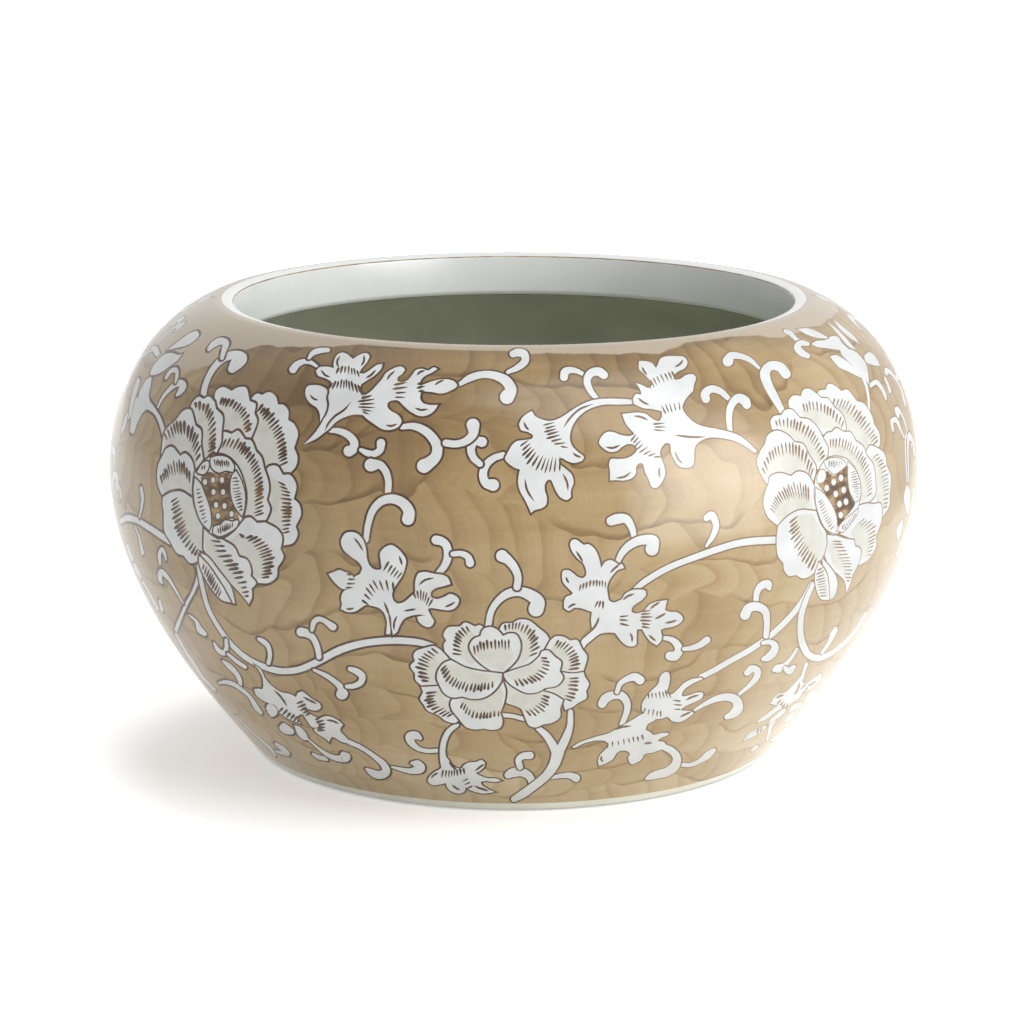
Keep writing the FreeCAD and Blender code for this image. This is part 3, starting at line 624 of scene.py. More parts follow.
# The larger leaf sprays: leaf outlines, hatch rows, veins and stems
LEAF_SPRAYS = [
    ([[(303, 445, 1), (314, 434), (321, 424), (326, 414), (328.5, 404), (327, 395), (328, 388),
       (336, 387), (345, 386), (353, 388), (361, 393), (365, 396), (366, 402), (366, 410), (363, 415, 1),
       (354, 414.5), (345, 417), (336, 422), (328, 430), (324, 433, 1), (316, 439)],
      [(334, 372, 1), (334, 361), (337, 355), (342, 352.5), (347, 354), (353, 359, 1), (358, 355.5),
       (366, 353), (369.5, 356), (367, 362), (362, 368), (359, 373, 1), (350, 376)],
      [(316, 371, 1), (319, 367.5), (326, 366.5), (333, 368), (340, 374), (340, 382), (331, 381),
       (325, 378), (318, 375.5)],
      [(358, 373, 1), (364, 373.5), (370, 370), (377, 364.8), (382.5, 364, 1), (381, 369), (374, 376),
       (366, 381), (361, 385), (360, 391, 1), (352, 390), (340, 389), (333, 388), (331, 381), (340, 372)],
      [(364, 396, 1), (370, 392), (376, 386), (382, 379), (386, 373), (393, 368.5), (401, 366.5),
       (404.7, 369.5), (402, 374), (398, 377), (397.5, 381), (402, 382), (408, 380), (412, 375),
       (416, 370), (422, 368.7), (428, 370.5), (434, 367.3), (437.5, 369, 1), (433, 372), (425, 376),
       (421, 380), (420, 385), (421, 392), (420, 398), (423, 403), (431, 405), (438, 405, 1), (434, 411),
       (428, 415), (420, 416), (411, 412), (404, 406), (398, 400.5), (392, 400.5), (388, 402.5),
       (387.5, 407), (391, 411), (398, 415), (401.5, 421), (398, 427), (390, 430), (382, 429), (374, 424),
       (367, 419), (362, 414, 1)],
      [(420, 386, 1), (430, 382), (440, 379.5), (449, 379.5), (455, 382), (457, 386), (450, 391),
       (441, 393.5), (432, 392), (422, 391, 1)]],
     [([(331, 389), (345, 388), (360, 394)], [(334, 383), (346, 381), (357, 386)], 13),
      ([(371, 397), (374, 404), (369, 414)], [(362, 399), (361, 405), (364, 412)], 7),
      ([(405, 383), (406, 390), (404, 397)], [(395, 385), (396, 390), (397, 397)], 5),
      ([(338, 373), (346, 373), (359, 376)], [(340, 368), (347, 367), (357, 371)], 9),
      ([(424, 382), (424, 391)], [(418, 384), (419, 392)], 4)],
     [[(351, 402), (344, 410), (335, 416), (328, 424), (325, 431)], [(339, 368), (337, 362), (340, 356)],
      [(364, 355), (364, 361), (361, 366)], [(321, 370), (325, 375), (330, 377)],
      [(376, 370), (371, 375), (366, 378)], [(395, 371), (390, 375), (387, 380)],
      [(425, 370.5), (420, 372), (417, 375)], [(444, 380), (439, 382), (435, 385)],
      [(415, 408), (421, 410), (428, 409)], [(386, 425), (391, 426), (397, 424)]]),
    ([[(320, 422, 1), (320, 415), (317, 408), (310, 403), (306, 397), (305.5, 390), (308, 386),
       (314, 385), (321, 386), (327, 390), (326, 398), (327, 405), (325, 413)]], [],
     [[(310, 395), (314, 399), (318, 400)]]),
    ([[(360, 574, 1), (362, 568), (358, 561.5), (350, 556), (343, 549), (341, 541), (345, 533.5),
       (352, 532), (358, 534), (363, 540), (366, 549), (367, 559), (370, 566), (375, 569.5), (381, 569),
       (380.5, 560), (380, 553), (384, 548), (391, 545), (397, 548), (402, 553), (406, 560), (405, 568),
       (402, 576), (398, 582), (394, 588), (392, 595), (394, 601), (398, 603.5), (404, 602), (410, 597),
       (415, 592), (415, 585), (416, 578), (419, 573), (426, 572), (435, 574), (443, 575), (448, 578),
       (450.5, 584, 1), (444, 586), (436, 588), (431, 592), (431, 597), (437, 599), (444, 597),
       (450, 594), (456, 596), (459, 600), (457, 606), (451, 610), (441, 609.5), (432, 608), (428, 609),
       (430, 614), (432, 618, 1), (427, 616), (420, 614.5), (412, 615.5), (404, 619), (400, 625),
       (397, 632), (393, 635, 1), (391.5, 627), (391, 618), (388, 611), (389, 620), (390, 634),
       (386, 634, 1), (387, 622), (384, 613), (379, 608), (372, 606), (366, 605), (361, 608),
       (355, 611.5), (347, 612), (341, 609, 1), (342, 604), (341, 598), (344, 591), (350, 588.5),
       (353, 585), (353, 579), (356, 576)],
      [(328.5, 574, 1), (334, 572), (339, 570), (345, 572), (351, 574), (354, 580), (352, 587),
       (343, 589), (337, 585), (331, 578)],
      [(417, 617, 1), (424, 615.5), (432, 618), (434, 622), (430, 627), (424, 626), (419, 622)]],
     [([(354, 574), (355, 581), (352, 588)], [(348, 574), (349, 581), (346, 588)], 5),
      ([(369, 603), (377, 590), (391, 591)], [(364, 599), (372, 583), (390, 583)], 10),
      ([(384, 570), (397, 579)], [(388, 563), (401, 574)], 6),
      ([(416, 598), (422, 600), (428, 606)], [(414, 592), (423, 592), (431, 600)], 8)],
     [[(354, 538), (359, 544), (363, 551)], [(399, 556), (401, 561), (402, 565)],
      [(384, 602), (387, 609), (389, 615)], [(404, 611), (410, 610), (416, 609)],
      [(419, 585), (425, 580), (434, 578)], [(455, 602), (450, 605), (445, 607)],
      [(397, 616), (394, 623), (394, 630)], [(346, 609), (350, 609), (354, 608)]]),
    ([[(519, 424, 1), (522, 418), (528, 413), (532, 411, 1), (535, 416), (542, 419.5), (551, 421),
       (560, 418), (568, 413), (577, 407), (587, 402), (596, 399.5), (610, 398.5), (625, 399),
       (634, 399.7, 1), (633, 404, 1), (620, 404.5), (605, 404.5), (594, 407), (584, 412), (576, 420),
       (571, 430), (570, 440), (573, 447), (578, 452), (584, 457), (582, 461, 1), (574, 463), (567, 461),
       (562, 458), (559, 459), (560, 464), (566, 469), (572, 475), (573.5, 483), (571, 490),
       (571, 497, 1), (567, 500), (560, 497), (556, 491), (553, 484), (551, 480), (548, 480), (545, 484),
       (545, 491), (547, 498), (546, 505), (541, 508.5), (535, 510), (531, 513, 1), (528, 506),
       (524, 498), (520, 491), (518, 482), (519, 473), (520, 469.5, 1), (515, 468), (508, 463),
       (505, 459), (508, 452), (512, 445), (517, 441), (525, 440), (532, 438.5), (533, 435.5), (528, 432),
       (521, 430)]],
     [([(554, 424), (558, 434), (567, 447)], [(546, 426), (550, 439), (561, 446)], 9),
      ([(529, 443), (535, 453), (546, 459), (557, 458)], [(523, 448), (528, 461), (545, 470), (556, 469)],
       14)],
     [[(524, 422), (526, 427), (529, 430)], [(564, 427), (570, 418), (580, 409), (593, 404)],
      [(525, 479), (527, 490), (534, 501)], [(563, 474), (567, 482), (568, 490)],
      [(573, 453), (577, 456), (581, 457)]]),
    ([[(634, 404, 1), (633, 399), (636, 394), (641, 394.5), (640, 389), (636, 383, 1), (642, 385),
       (649, 388), (652, 384), (648, 378), (643, 373), (639, 369), (639, 361, 1), (645, 361), (652, 363),
       (656, 368, 1), (658, 364), (660, 359), (665, 356.5), (675, 356), (684, 357), (687.5, 362),
       (685, 368), (679, 371), (675, 374), (674, 379), (680, 379), (685, 375.5), (692, 374), (696, 377),
       (694, 385), (693, 391, 1), (688, 396), (684, 402), (682, 408, 1), (676, 409), (668, 411),
       (661, 411), (652, 409), (643, 408)],
      [(622, 414, 1), (630, 413), (638, 412.5), (646, 414), (653, 419), (659, 421), (662, 416),
       (662, 410), (670, 407), (681, 406), (684, 412), (690, 419), (697, 424), (706, 427), (718, 429),
       (730, 432), (740, 436), (750, 444), (757, 451, 1), (755, 453, 1), (745, 446), (735, 441),
       (722, 438), (710, 437.5), (702, 440), (696, 445), (694, 452), (694, 460), (692, 466), (686, 467.5),
       (679, 466), (674, 459), (671, 452), (670, 444), (666, 443), (662, 447), (660, 452), (661, 458),
       (664, 466), (665, 474), (662, 482), (657, 487.5), (652, 487), (649, 480), (645, 472), (643, 464),
       (640, 463), (636, 467), (636, 473), (632, 478), (624, 480.5), (616, 480), (610, 480.5, 1),
       (610, 472), (609, 464), (611, 459), (618, 459), (627, 458), (634, 454), (637, 449), (634, 445),
       (628, 444), (622, 447), (617, 451), (610, 452), (603, 448), (599, 443), (602, 436), (607, 432),
       (613, 432), (621, 435), (629, 436), (634, 434), (631, 430), (626, 424)]],
     [([(652, 388), (662, 382), (674, 379)], [(649, 382), (660, 376), (671, 373)], 9),
      ([(662, 406), (672, 403), (683, 403)], [(665, 412), (674, 410), (683, 408)], 7),
      ([(637, 436), (646, 447), (662, 457)], [(633, 441), (641, 452), (656, 457)], 10),
      ([(664, 422), (664, 432)], [(655, 423), (656, 431)], 4)],
     [[(642, 367), (644, 371), (647, 375)], [(683, 360), (680, 364), (675, 367)],
      [(638, 398), (643, 402), (649, 405)], [(606, 447), (613, 448), (620, 445)],
      [(616, 478), (624, 477), (631, 472)], [(675, 435), (690, 437), (705, 437)],
      [(675, 451), (678, 459), (683, 464)], [(634, 416), (641, 417), (648, 420)],
      [(660, 467), (659, 472), (660, 478)]]),
    ([[(581, 643, 1), (582, 640), (590, 633), (596, 627), (599, 620), (600, 614, 1), (596, 614),
       (592, 612), (586, 610), (580, 608), (574, 608), (569, 611), (564, 608, 1), (564, 602), (566, 597),
       (571, 595), (573, 593, 1), (568, 588), (563, 582), (562, 575), (563, 571), (568, 570), (573, 573),
       (578, 577), (583, 578), (586, 575), (586, 570), (583, 563), (577, 558), (572, 551), (570, 544),
       (572, 540), (576, 539.5), (580, 542), (584, 545, 1), (588, 544), (594, 548), (598, 555),
       (600, 562), (601, 568, 1), (605, 562), (610, 560), (615, 562), (619, 565, 1), (622, 564),
       (624, 568, 1), (618, 570), (613, 575), (609, 581), (607, 588), (608, 595), (609, 600),
       (613, 602.5), (618, 601), (622, 599), (625, 594), (631, 590.5), (639, 589.5), (645, 590.5),
       (646, 595), (642, 600), (636, 604), (632, 608), (632, 612), (637, 613.5), (642, 612), (645, 610),
       (649, 605), (655, 602), (660, 601), (667, 600, 1), (666, 605), (665, 610, 1), (670, 612),
       (676, 612), (681, 615), (683, 619), (679, 624), (672, 627), (664, 628.5), (661, 630), (662, 636),
       (661, 641), (657, 645.5, 1), (651, 642), (646, 636), (642, 629, 1), (637, 629.5, 1), (636.5, 638),
       (636, 645), (630, 646.5), (623, 643), (618, 637), (615, 633, 1), (608, 632.5), (600, 634),
       (592, 640), (586, 645), (583, 650, 1)],
      [(592, 612, 1), (600, 615), (597, 623), (592, 628, 1), (591, 620)]],
     [([(581, 590), (592, 586), (604, 587)], [(582, 585), (592, 581), (604, 582)], 11),
      ([(594, 607), (604, 608)], [(597, 602), (604, 602)], 4),
      ([(628, 615), (628, 627)], [(621, 616), (621, 625)], 4),
      ([(650, 611), (651, 619), (649, 627)], [(643, 612), (642, 619), (643, 626)], 7)],
     [[(576, 551), (580, 557), (583, 562)], [(566, 577), (567, 580), (569, 583)],
      [(568, 608), (572, 605), (576, 604)], [(610, 573), (615, 568), (620, 564)],
      [(623, 600), (628, 596), (634, 594)], [(650, 609), (655, 605), (660, 602)],
      [(655, 619), (661, 616), (666, 613)], [(665, 623), (671, 622), (677, 620)],
      [(630, 633), (632, 637), (632, 642)], [(649, 635), (652, 638), (656, 641)],
      [(599, 617), (597, 623), (593, 628)]]),
    ([[(572, 747, 1), (580, 742), (590, 738.5), (598, 736), (608, 733.5), (611, 732), (620, 727),
       (632, 720), (642, 714), (650, 712), (658, 712, 1), (655, 720), (648, 724), (645, 731), (640, 736),
       (628, 741), (617, 744), (609, 744), (605, 741), (597, 740.5), (585, 743), (574, 748)],
      [(642, 711, 1), (642, 704), (646, 697), (652, 690), (658, 684), (660, 677), (663, 673), (668, 672),
       (670, 677), (669, 685), (667, 693), (672, 694), (678, 689), (684, 683), (692, 679),
       (701, 677.5, 1), (703, 679, 1), (692, 684), (684, 690), (682, 696), (690, 695), (697, 692.5),
       (703, 693), (702, 698), (695, 702), (686, 706), (681, 710), (690, 711), (694, 713, 1), (688, 718),
       (680, 722), (672, 721), (668, 717), (660, 719), (650, 718)],
      [(609, 744, 1), (605, 750), (600, 755), (598, 761), (599, 766, 1), (607, 763), (613, 759),
       (616, 754), (620, 751), (627, 751), (630, 754), (628, 758), (631, 764), (634, 764, 1), (641, 760),
       (645, 754), (652, 753), (660, 750), (666, 748), (664, 742), (658, 741), (661, 738), (668, 735),
       (669, 733, 1), (661, 733), (654, 735), (650, 732), (645, 730), (638, 735), (628, 739), (616, 743)]],
     [([(650, 698), (658, 698), (670, 697)], [(650, 694), (658, 693), (668, 691)], 8),
      ([(640, 713), (650, 715), (660, 717)], [(642, 709), (651, 710), (660, 712)], 7),
      ([(610, 747), (624, 744), (642, 740)], [(610, 743), (624, 740), (641, 736)], 10),
      ([(674, 700), (674, 710)], [(680, 701), (680, 710)], 4)],
     [[(685, 680), (690, 676), (697, 675)], [(614, 730), (622, 727), (631, 726)],
      [(602, 756), (601, 759), (603, 762)], [(686, 700), (692, 697), (699, 695)],
      [(680, 717), (686, 714), (691, 712)], [(644, 744), (648, 743), (652, 743)]],
     [[(664, 747, 6), (672, 751, 7), (677, 758, 8), (675, 766, 9), (667, 772, 9), (657, 774.5, 8),
       (650, 777, 6), (646, 779, 2)]]),
    ([[(254, 664, 1), (260, 672), (263, 680), (262.5, 689), (258, 688.5), (254, 689, 1), (256, 695),
       (262, 700), (268, 703), (276, 706), (279, 712), (285, 717), (293, 721), (301, 724, 1), (297, 717),
       (302, 714), (306, 719), (312, 727), (318, 728), (322, 731), (330, 736), (329, 742, 1), (332, 737),
       (342, 742), (352, 744, 1), (345, 736, 1), (340, 730), (343, 724.5, 1), (336, 719), (327, 716),
       (319, 718), (312, 715), (306, 711), (301, 706), (298, 699), (290, 694), (281, 692), (272, 686),
       (265, 678), (261, 670)],
      [(296, 697, 1), (298, 693), (302, 691.5), (306, 694), (312, 699), (320, 704), (320.5, 708),
       (316, 710.5), (308, 709), (302, 707)],
      [(266, 708, 1), (268, 704), (273, 705), (277, 709), (277, 714), (272, 717), (268, 713)],
      [(279, 727, 1), (283, 723), (289, 726), (294, 731), (293, 734), (286, 734), (281, 731)],
      [(294, 725, 1), (300, 727), (306, 733), (309, 740, 1), (304, 740), (298, 735)],
      [(322, 729, 1), (314, 729), (318, 734), (326, 739), (329, 742, 1), (331, 735)]],
     [([(297, 704), (301, 711), (306, 715)], [(303, 702), (307, 709), (311, 712)], 6),
      ([(280, 713), (290, 719), (300, 725)], [(284, 709), (293, 715), (303, 720)], 8),
      ([(321, 718), (325, 724), (324, 730)], [(316, 720), (319, 725), (318, 730)], 6)],
     [[(274, 690), (281, 697), (287, 706)], [(303, 697), (309, 700), (317, 704)],
      [(326, 720), (333, 721), (339, 724)]],
     [[(309, 740, 1.5), (318, 748, 2.5), (328, 755, 4), (338, 758.5, 6), (346, 757, 9), (343, 754, 5)],
      [(349, 742, 4.5), (362, 748, 4), (375, 757, 4.5), (384, 765, 6.5), (386, 772, 8), (379, 775, 8),
       (371, 772, 6), (366.5, 769, 2.5)]]),
    ([[(440, 760, 1), (441, 768), (436, 771), (430, 776), (428, 781), (432, 785), (440, 784.5),
       (446, 783, 1), (447, 787), (451, 791), (458, 793.5), (464, 792), (466, 787, 1), (470, 790),
       (477, 792.5), (485, 793.5), (495, 792, 1), (488, 789), (482, 785), (481, 782), (486, 781),
       (495, 782), (501, 780.5, 1), (496, 778.5), (487, 778), (481, 776), (476, 773), (480, 771),
       (484, 767), (485, 763, 1), (482, 760), (476, 762), (469, 762.5), (464, 765), (462, 768),
       (457, 768), (451, 764), (447, 758)]],
     [([(443, 777), (453, 776), (463, 774)], [(444, 771), (453, 771), (462, 769)], 10),
      ([(467, 789), (463, 781)], [(472, 787), (467, 779)], 4)],
     [[(449, 762), (453, 767), (457, 770)], [(431, 778), (434, 775), (438, 773)],
      [(452, 785), (456, 788), (460, 790)], [(474, 786), (482, 789), (489, 791)],
      [(475, 771), (480, 767), (484, 764)]],
     [[(457, 725, 4), (449, 731, 5), (444, 741, 5.5), (442.5, 752, 5.5), (444, 763, 7)]])]

# The large left peony: each petal's outline, hatch starts, hatch ends, hatch count, base and hatch width
LEFT_PEONY_PETALS = [
    ([(250, 400, 1), (257, 393.5), (262, 395, 1), (269, 392), (275.5, 396), (278, 404.5, 1), (284, 405),
      (288.3, 411), (288, 420, 1), (294, 424), (298, 434), (294, 448, 1), (297.5, 457), (295.5, 467),
      (288, 474.5, 1), (278, 472), (266, 472), (258, 455), (250, 439, 1), (255, 424), (254, 408)],
     [(256, 410), (266, 423), (276, 443), (279, 468)], [(261, 403), (275, 415), (285, 437), (288, 464)],
     21, [(262, 468), (252, 445), (252, 420)]),
    ([(265, 472, 1), (269, 466.5), (277, 466), (283, 475, 1), (290, 475), (296.3, 485), (293.7, 499, 1),
      (299, 504), (301, 514), (295.5, 526.5, 1), (297.7, 534), (293, 543), (283, 545.5, 1), (281.5, 534),
      (270, 527), (262, 524, 1), (266, 505), (266, 488)],
     [(268, 474), (279, 484), (281, 505), (282, 535)], [(276, 479), (288, 489), (292, 508), (289, 533)],
     15, [(276, 532), (264, 520), (264, 490)]),
    ([(214.5, 401, 1), (216, 391), (223, 387), (231.7, 391, 1), (238, 387.3), (246, 387.7),
      (249.7, 401, 1), (255.5, 404), (254.3, 413, 1), (257, 421), (251, 438, 1), (240, 440),
      (221, 440, 1), (223, 420), (216, 409, 1)], [(218, 405), (230, 408), (240, 416), (245, 434)],
     [(221, 397), (235, 400), (248, 412), (252, 429)], 17, [(240, 436), (224, 434), (222, 415)]),
    ([(220, 434, 1), (225, 432), (231.5, 434, 1), (238, 430.7), (245, 439.5, 1), (251, 440.5),
      (256, 451.5, 1), (261, 457), (264, 468, 1), (268, 480), (269, 489), (266.7, 500, 1), (270, 509),
      (265, 522, 1), (250, 526), (242, 522, 1), (244, 495), (236, 468), (226, 458), (212, 456, 1),
      (216, 444)], [(221, 447), (236, 450), (248, 463), (254, 482), (254, 518)],
     [(225, 438), (241, 440), (255, 456), (262.5, 478), (263, 515)], 28,
     [(246, 520), (246, 490), (236, 465), (220, 454)]),
    ([(189.5, 409.5, 1), (193, 401.5), (199, 396.5), (203.3, 399, 1), (209, 396.5), (214.5, 402, 1),
      (216, 409, 1), (222.3, 416), (221.5, 432, 1), (221, 442), (215.5, 455, 1), (204, 464, 1),
      (199, 449), (200, 436), (195, 426, 1), (192, 415)],
     [(195, 408), (204, 413), (208, 425), (208, 458)], [(194, 401), (208, 404), (215, 418), (215.5, 454)],
     20, [(204, 459), (201, 440), (197, 420)]),
    ([(162, 447, 1), (165, 431), (176, 420, 1), (183, 411), (190, 409.5), (195.5, 425.5, 1), (200.7, 430),
      (201, 445), (203, 459, 1), (196, 474), (188, 474), (175, 465), (162, 458)],
     [(166, 441), (181, 434), (190, 442), (196, 463)], [(163, 434), (179, 420), (196, 431), (201.5, 455)],
     24, [(196, 470), (185, 465), (166, 452)]),
    ([(163, 497, 1), (158.5, 487), (157, 475), (158.5, 464), (163, 455, 1), (166, 449), (172, 447),
      (180, 456, 1), (185, 453.5), (191, 459), (194.5, 473), (193, 488), (191, 500, 1), (178, 499)],
     [(161, 485), (172, 476), (183, 475), (190.5, 484)],
     [(159.5, 477), (170, 463), (182, 461), (190.5, 473)], 22, [(191, 496), (178, 497), (165, 495)], 2.2),
    ([(163, 497, 1), (171, 492.5), (181, 491.5), (192, 498, 1), (194, 508), (203.5, 528), (204.5, 540),
      (201, 556, 1), (196, 562), (190, 563), (183.5, 555.5, 1), (177, 553), (171, 543), (164.5, 531),
      (163.7, 512, 1), (162.5, 504)], [(177, 495), (181, 506), (186, 525), (192, 540), (199.5, 550)],
     [(171, 499), (172, 512), (176, 532), (186, 548), (196, 558)], 17,
     [(203, 545), (202, 530), (193, 508), (189, 498)]),
    ([(218, 536, 1), (232, 528), (242, 519.5, 1), (250, 517.5), (257, 523, 1), (265, 522.5, 1),
      (277, 529), (282, 537), (280.5, 549, 1), (283.5, 557), (277.5, 567.5, 1), (276.5, 577), (268, 583),
      (255.5, 582.5, 1), (249, 575), (236, 560, 1), (228, 548)],
     [(236, 531), (248, 541), (257, 551), (262, 563), (261, 580)],
     [(240, 538), (256, 536), (268, 545), (274, 558), (270, 579)], 17,
     [(253, 577), (240, 557), (228, 543)]),
    ([(204, 529, 1), (212, 534), (221, 539), (234, 547), (239, 557, 1), (247, 560), (251, 570),
      (250.5, 576, 1), (256, 583), (251.5, 588.5, 1), (252, 597), (249, 604, 1), (241, 594), (227, 579),
      (213, 563), (203.5, 549, 1)], [(210, 538), (217, 555), (230, 572), (240, 588), (245, 599)],
     [(220, 540), (231, 556), (242, 571), (247.5, 587), (249.5, 598)], 14,
     [(244, 596), (226, 577), (206, 551), (205, 535)])]

LEFT_PEONY_LEAF = [(201, 553, 1), (208, 557), (219, 571), (231, 587), (235, 603.5, 1), (230, 602),
                   (222, 584), (212, 571), (202, 558)]

LEFT_PEONY_LOW_PETAL = ([(199.5, 556, 1), (208, 565), (217, 578), (224, 589), (231, 602.5, 1), (222, 600),
                         (211, 588), (202, 572), (199, 562)], [(203, 561), (212, 573), (222, 591)],
                        [(202, 569), (210, 585), (219, 598)], 11, [(224, 594), (208, 568)], 2.2)

# Its seed pod: outline, brown field, small petals with their hatch rows, dots and dot size
LEFT_PEONY_POD = ([(205, 460, 1), (216, 454.5), (228, 457.5), (238, 468), (245, 487), (246, 500),
                   (243, 518, 1), (232, 531), (220, 537.5), (212, 534), (203, 525), (196, 510),
                   (193, 492), (194.5, 473, 1)],
                  [(201, 477), (209, 472), (219, 474), (230, 473), (232, 482), (231, 496), (236, 509),
                   (239, 519), (230, 519), (221, 523), (213, 527), (211, 520), (209, 508), (205, 494),
                   (201, 484)],
                  [([(211, 458, 1), (218, 456), (228, 458), (234, 466), (233, 472, 1), (226, 470.5),
                     (218.5, 472.5), (212, 468), (210.5, 462)], [(214, 466), (222, 467), (230, 467)],
                    [(213, 459.5), (221, 460), (229, 461)], 9),
                   ([(197, 472, 1), (203, 463), (208, 461.5), (208.5, 468), (204, 474), (198, 473)],
                    [(200, 471), (206, 469)], [(201, 467), (206, 464)], 4),
                   ([(195, 478, 1), (200, 483), (205, 495), (210, 510), (211, 524), (209, 530, 1),
                     (202, 523), (196, 508), (193.5, 490)], [(200, 487), (204, 504), (208, 523)],
                    [(196, 488), (198.5, 506), (204, 526)], 9),
                   ([(236, 471, 1), (241, 480), (245, 495), (244, 510), (242, 516, 1), (235, 507),
                     (231, 494), (231, 480), (233, 474)], [(232, 477), (233, 494), (239, 512)],
                    [(238, 477), (241, 494), (243, 510)], 11),
                   ([(213, 533, 1), (214, 527), (221, 525, 1), (225, 520.5), (232, 522, 1), (238, 520.5),
                     (237, 526), (228, 533), (219, 536)], [(217, 527), (226, 523.5), (234, 522)],
                    [(218, 534), (226, 531), (233, 527)], 8)],
                  [(205, 482), (213, 480), (222, 480), (213.5, 492), (223, 492), (216, 505), (224.5, 506),
                   (218, 516), (231.5, 514)], 2.1)

# The large right peony: each petal's outline, hatch starts, hatch ends, hatch count, base and hatch width
RIGHT_PEONY_PETALS = [
    ([(817.5, 396, 1), (818.5, 391), (826, 389.5, 1), (828, 384), (834, 385), (841.5, 391, 1),
      (847, 389.5), (856.7, 401, 1), (864, 403.5), (872, 416), (874, 424, 1), (879, 432), (880, 444),
      (877, 450, 1), (866, 453), (850, 438), (845, 428), (840, 412), (830, 402)],
     [(831, 405), (845, 411), (858, 425), (870, 441), (874, 447)],
     [(833, 398), (848, 400.5), (864, 416), (876, 434), (879, 442)], 24,
     [(864, 448), (848, 430), (838, 410)]),
    ([(866, 452, 1), (870, 445.5), (878, 448, 1), (884, 453), (887, 466, 1), (891, 476), (890, 493, 1),
      (889, 507), (882, 518, 1), (880, 507), (870, 502), (872, 480)],
     [(872, 456), (880, 470), (883, 490), (883, 510)], [(877, 452), (886, 466), (889, 488), (887, 508)],
     17, [(878, 505), (873, 490), (869, 462)], 2.2),
    ([(789.5, 409, 1), (788.5, 401), (793, 395.5), (801, 396, 1), (803, 390), (809, 388.5),
      (821.5, 398, 1), (828, 398.5), (834, 407, 1), (842, 414), (846, 428), (844, 433, 1), (828, 436),
      (812, 428), (799, 418, 1)], [(803, 413), (815, 411), (830, 417), (842, 429)],
     [(801, 405), (812, 401), (830, 407), (845, 421)], 20, [(840, 431), (822, 428), (803, 416)]),
    ([(823, 438, 1), (827, 433), (832, 432, 1), (836, 428), (844, 432, 1), (850, 432), (856, 441, 1),
      (863, 446), (867, 456, 1), (873, 464), (875.5, 480), (875, 495), (866, 504.5, 1), (857, 507, 1),
      (859, 490), (855, 471), (846, 460), (838, 458), (826, 459, 1), (827, 447)],
     [(829, 448), (842, 449), (856, 460), (865, 479), (867, 498)],
     [(829, 439), (843, 438), (861, 451), (871, 473), (872, 494)], 26,
     [(861, 502), (860, 485), (850, 462), (832, 455)], 2.2),
    ([(772, 429, 1), (770.5, 421), (774, 416), (781.5, 415, 1), (785, 410), (792, 409.5), (800, 418, 1),
      (809, 419.5), (818, 428), (823, 438, 1), (828, 448), (827, 458, 1), (818, 470, 1), (806, 454),
      (793, 444), (783, 436)], [(776, 426), (790, 428), (806, 437), (816, 451), (821, 461)],
     [(774, 420), (791, 418.5), (811, 428), (821, 444), (825.5, 456)], 24,
     [(818, 464), (806, 448), (788, 434)]),
    ([(767, 484, 1), (760, 472), (757, 461), (760, 452), (765, 444, 1), (768, 435), (777, 430.5),
      (788, 435), (794.5, 442, 1), (803, 444), (809, 455, 1), (816, 467), (812, 486, 1), (795, 482),
      (780, 480)], [(765, 476), (772, 461), (785, 455), (800, 459), (811, 480)],
     [(761, 468), (770, 451), (786, 442), (803, 448), (815, 469)], 26,
     [(808, 484), (790, 476), (772, 480)]),
    ([(778, 526, 1), (768, 517), (763.5, 504), (765, 493), (768.5, 484, 1), (770, 477), (779, 473),
      (791, 476, 1), (798, 471.5), (807, 474), (814, 486), (816, 500), (817, 513, 1), (800, 518),
      (788, 522)], [(775, 514), (782, 503), (795, 498), (810, 501)],
     [(769, 509), (777, 494), (794, 483), (810, 486)], 24, [(813, 509), (796, 513), (780, 523)], 2.2),
    ([(778, 526, 1), (788, 516), (800, 510), (816, 511, 1), (820, 523), (827, 535), (826.5, 548),
      (819, 563, 1), (813, 574), (803, 578.5), (796, 575, 1), (789, 576), (784, 570), (783.5, 563.5, 1),
      (778, 556), (776.5, 540)], [(797, 514), (799, 525), (804, 538), (810, 549), (818, 558)],
     [(790, 520), (790, 533), (795, 548), (803, 562), (812, 572)], 18,
     [(824, 550), (822, 532), (812, 513)]),
    ([(840, 534, 1), (850, 523), (858, 506, 1), (866, 503.5), (874, 504, 1), (880.5, 503.5), (882, 518),
      (876, 536, 1), (876, 546), (868, 560), (859, 565.5, 1), (856, 552), (850, 545, 1), (850, 539)],
     [(857, 523), (866, 532), (868, 546), (866, 557)], [(862, 518), (875, 524), (875, 540), (871, 556)],
     13, [(860, 560), (856, 545), (850, 532)], 2.2),
    ([(827, 535, 1), (836, 535.5), (845, 538.5), (854, 540, 1), (855, 546, 1), (860.5, 549), (859, 562),
      (852.5, 575, 1), (850.5, 583), (846.5, 592.5, 1), (844.5, 581), (838, 574, 1), (830, 567),
      (824.5, 555, 1), (827.5, 544)], [(831, 539), (836, 553), (843, 568), (846, 582)],
     [(840, 540), (849, 555), (852, 569), (850, 582)], 14, [(842, 575), (832, 563), (828, 545)], 2.2)]

RIGHT_PEONY_LEAF = [(822, 558, 1), (830, 567), (836, 576), (837.5, 585), (834, 597), (829, 600, 1),
                    (829, 586), (824, 571)]

RIGHT_PEONY_LOW_PETAL = ([(819, 562, 1), (826, 572), (828.5, 584), (829.5, 600, 1), (821, 599),
                          (816, 588), (815, 574)], [(823, 566), (826, 580), (827, 597)],
                         [(817, 570), (817, 583), (820, 597)], 11, [(828, 595), (824, 570)], 2.2)

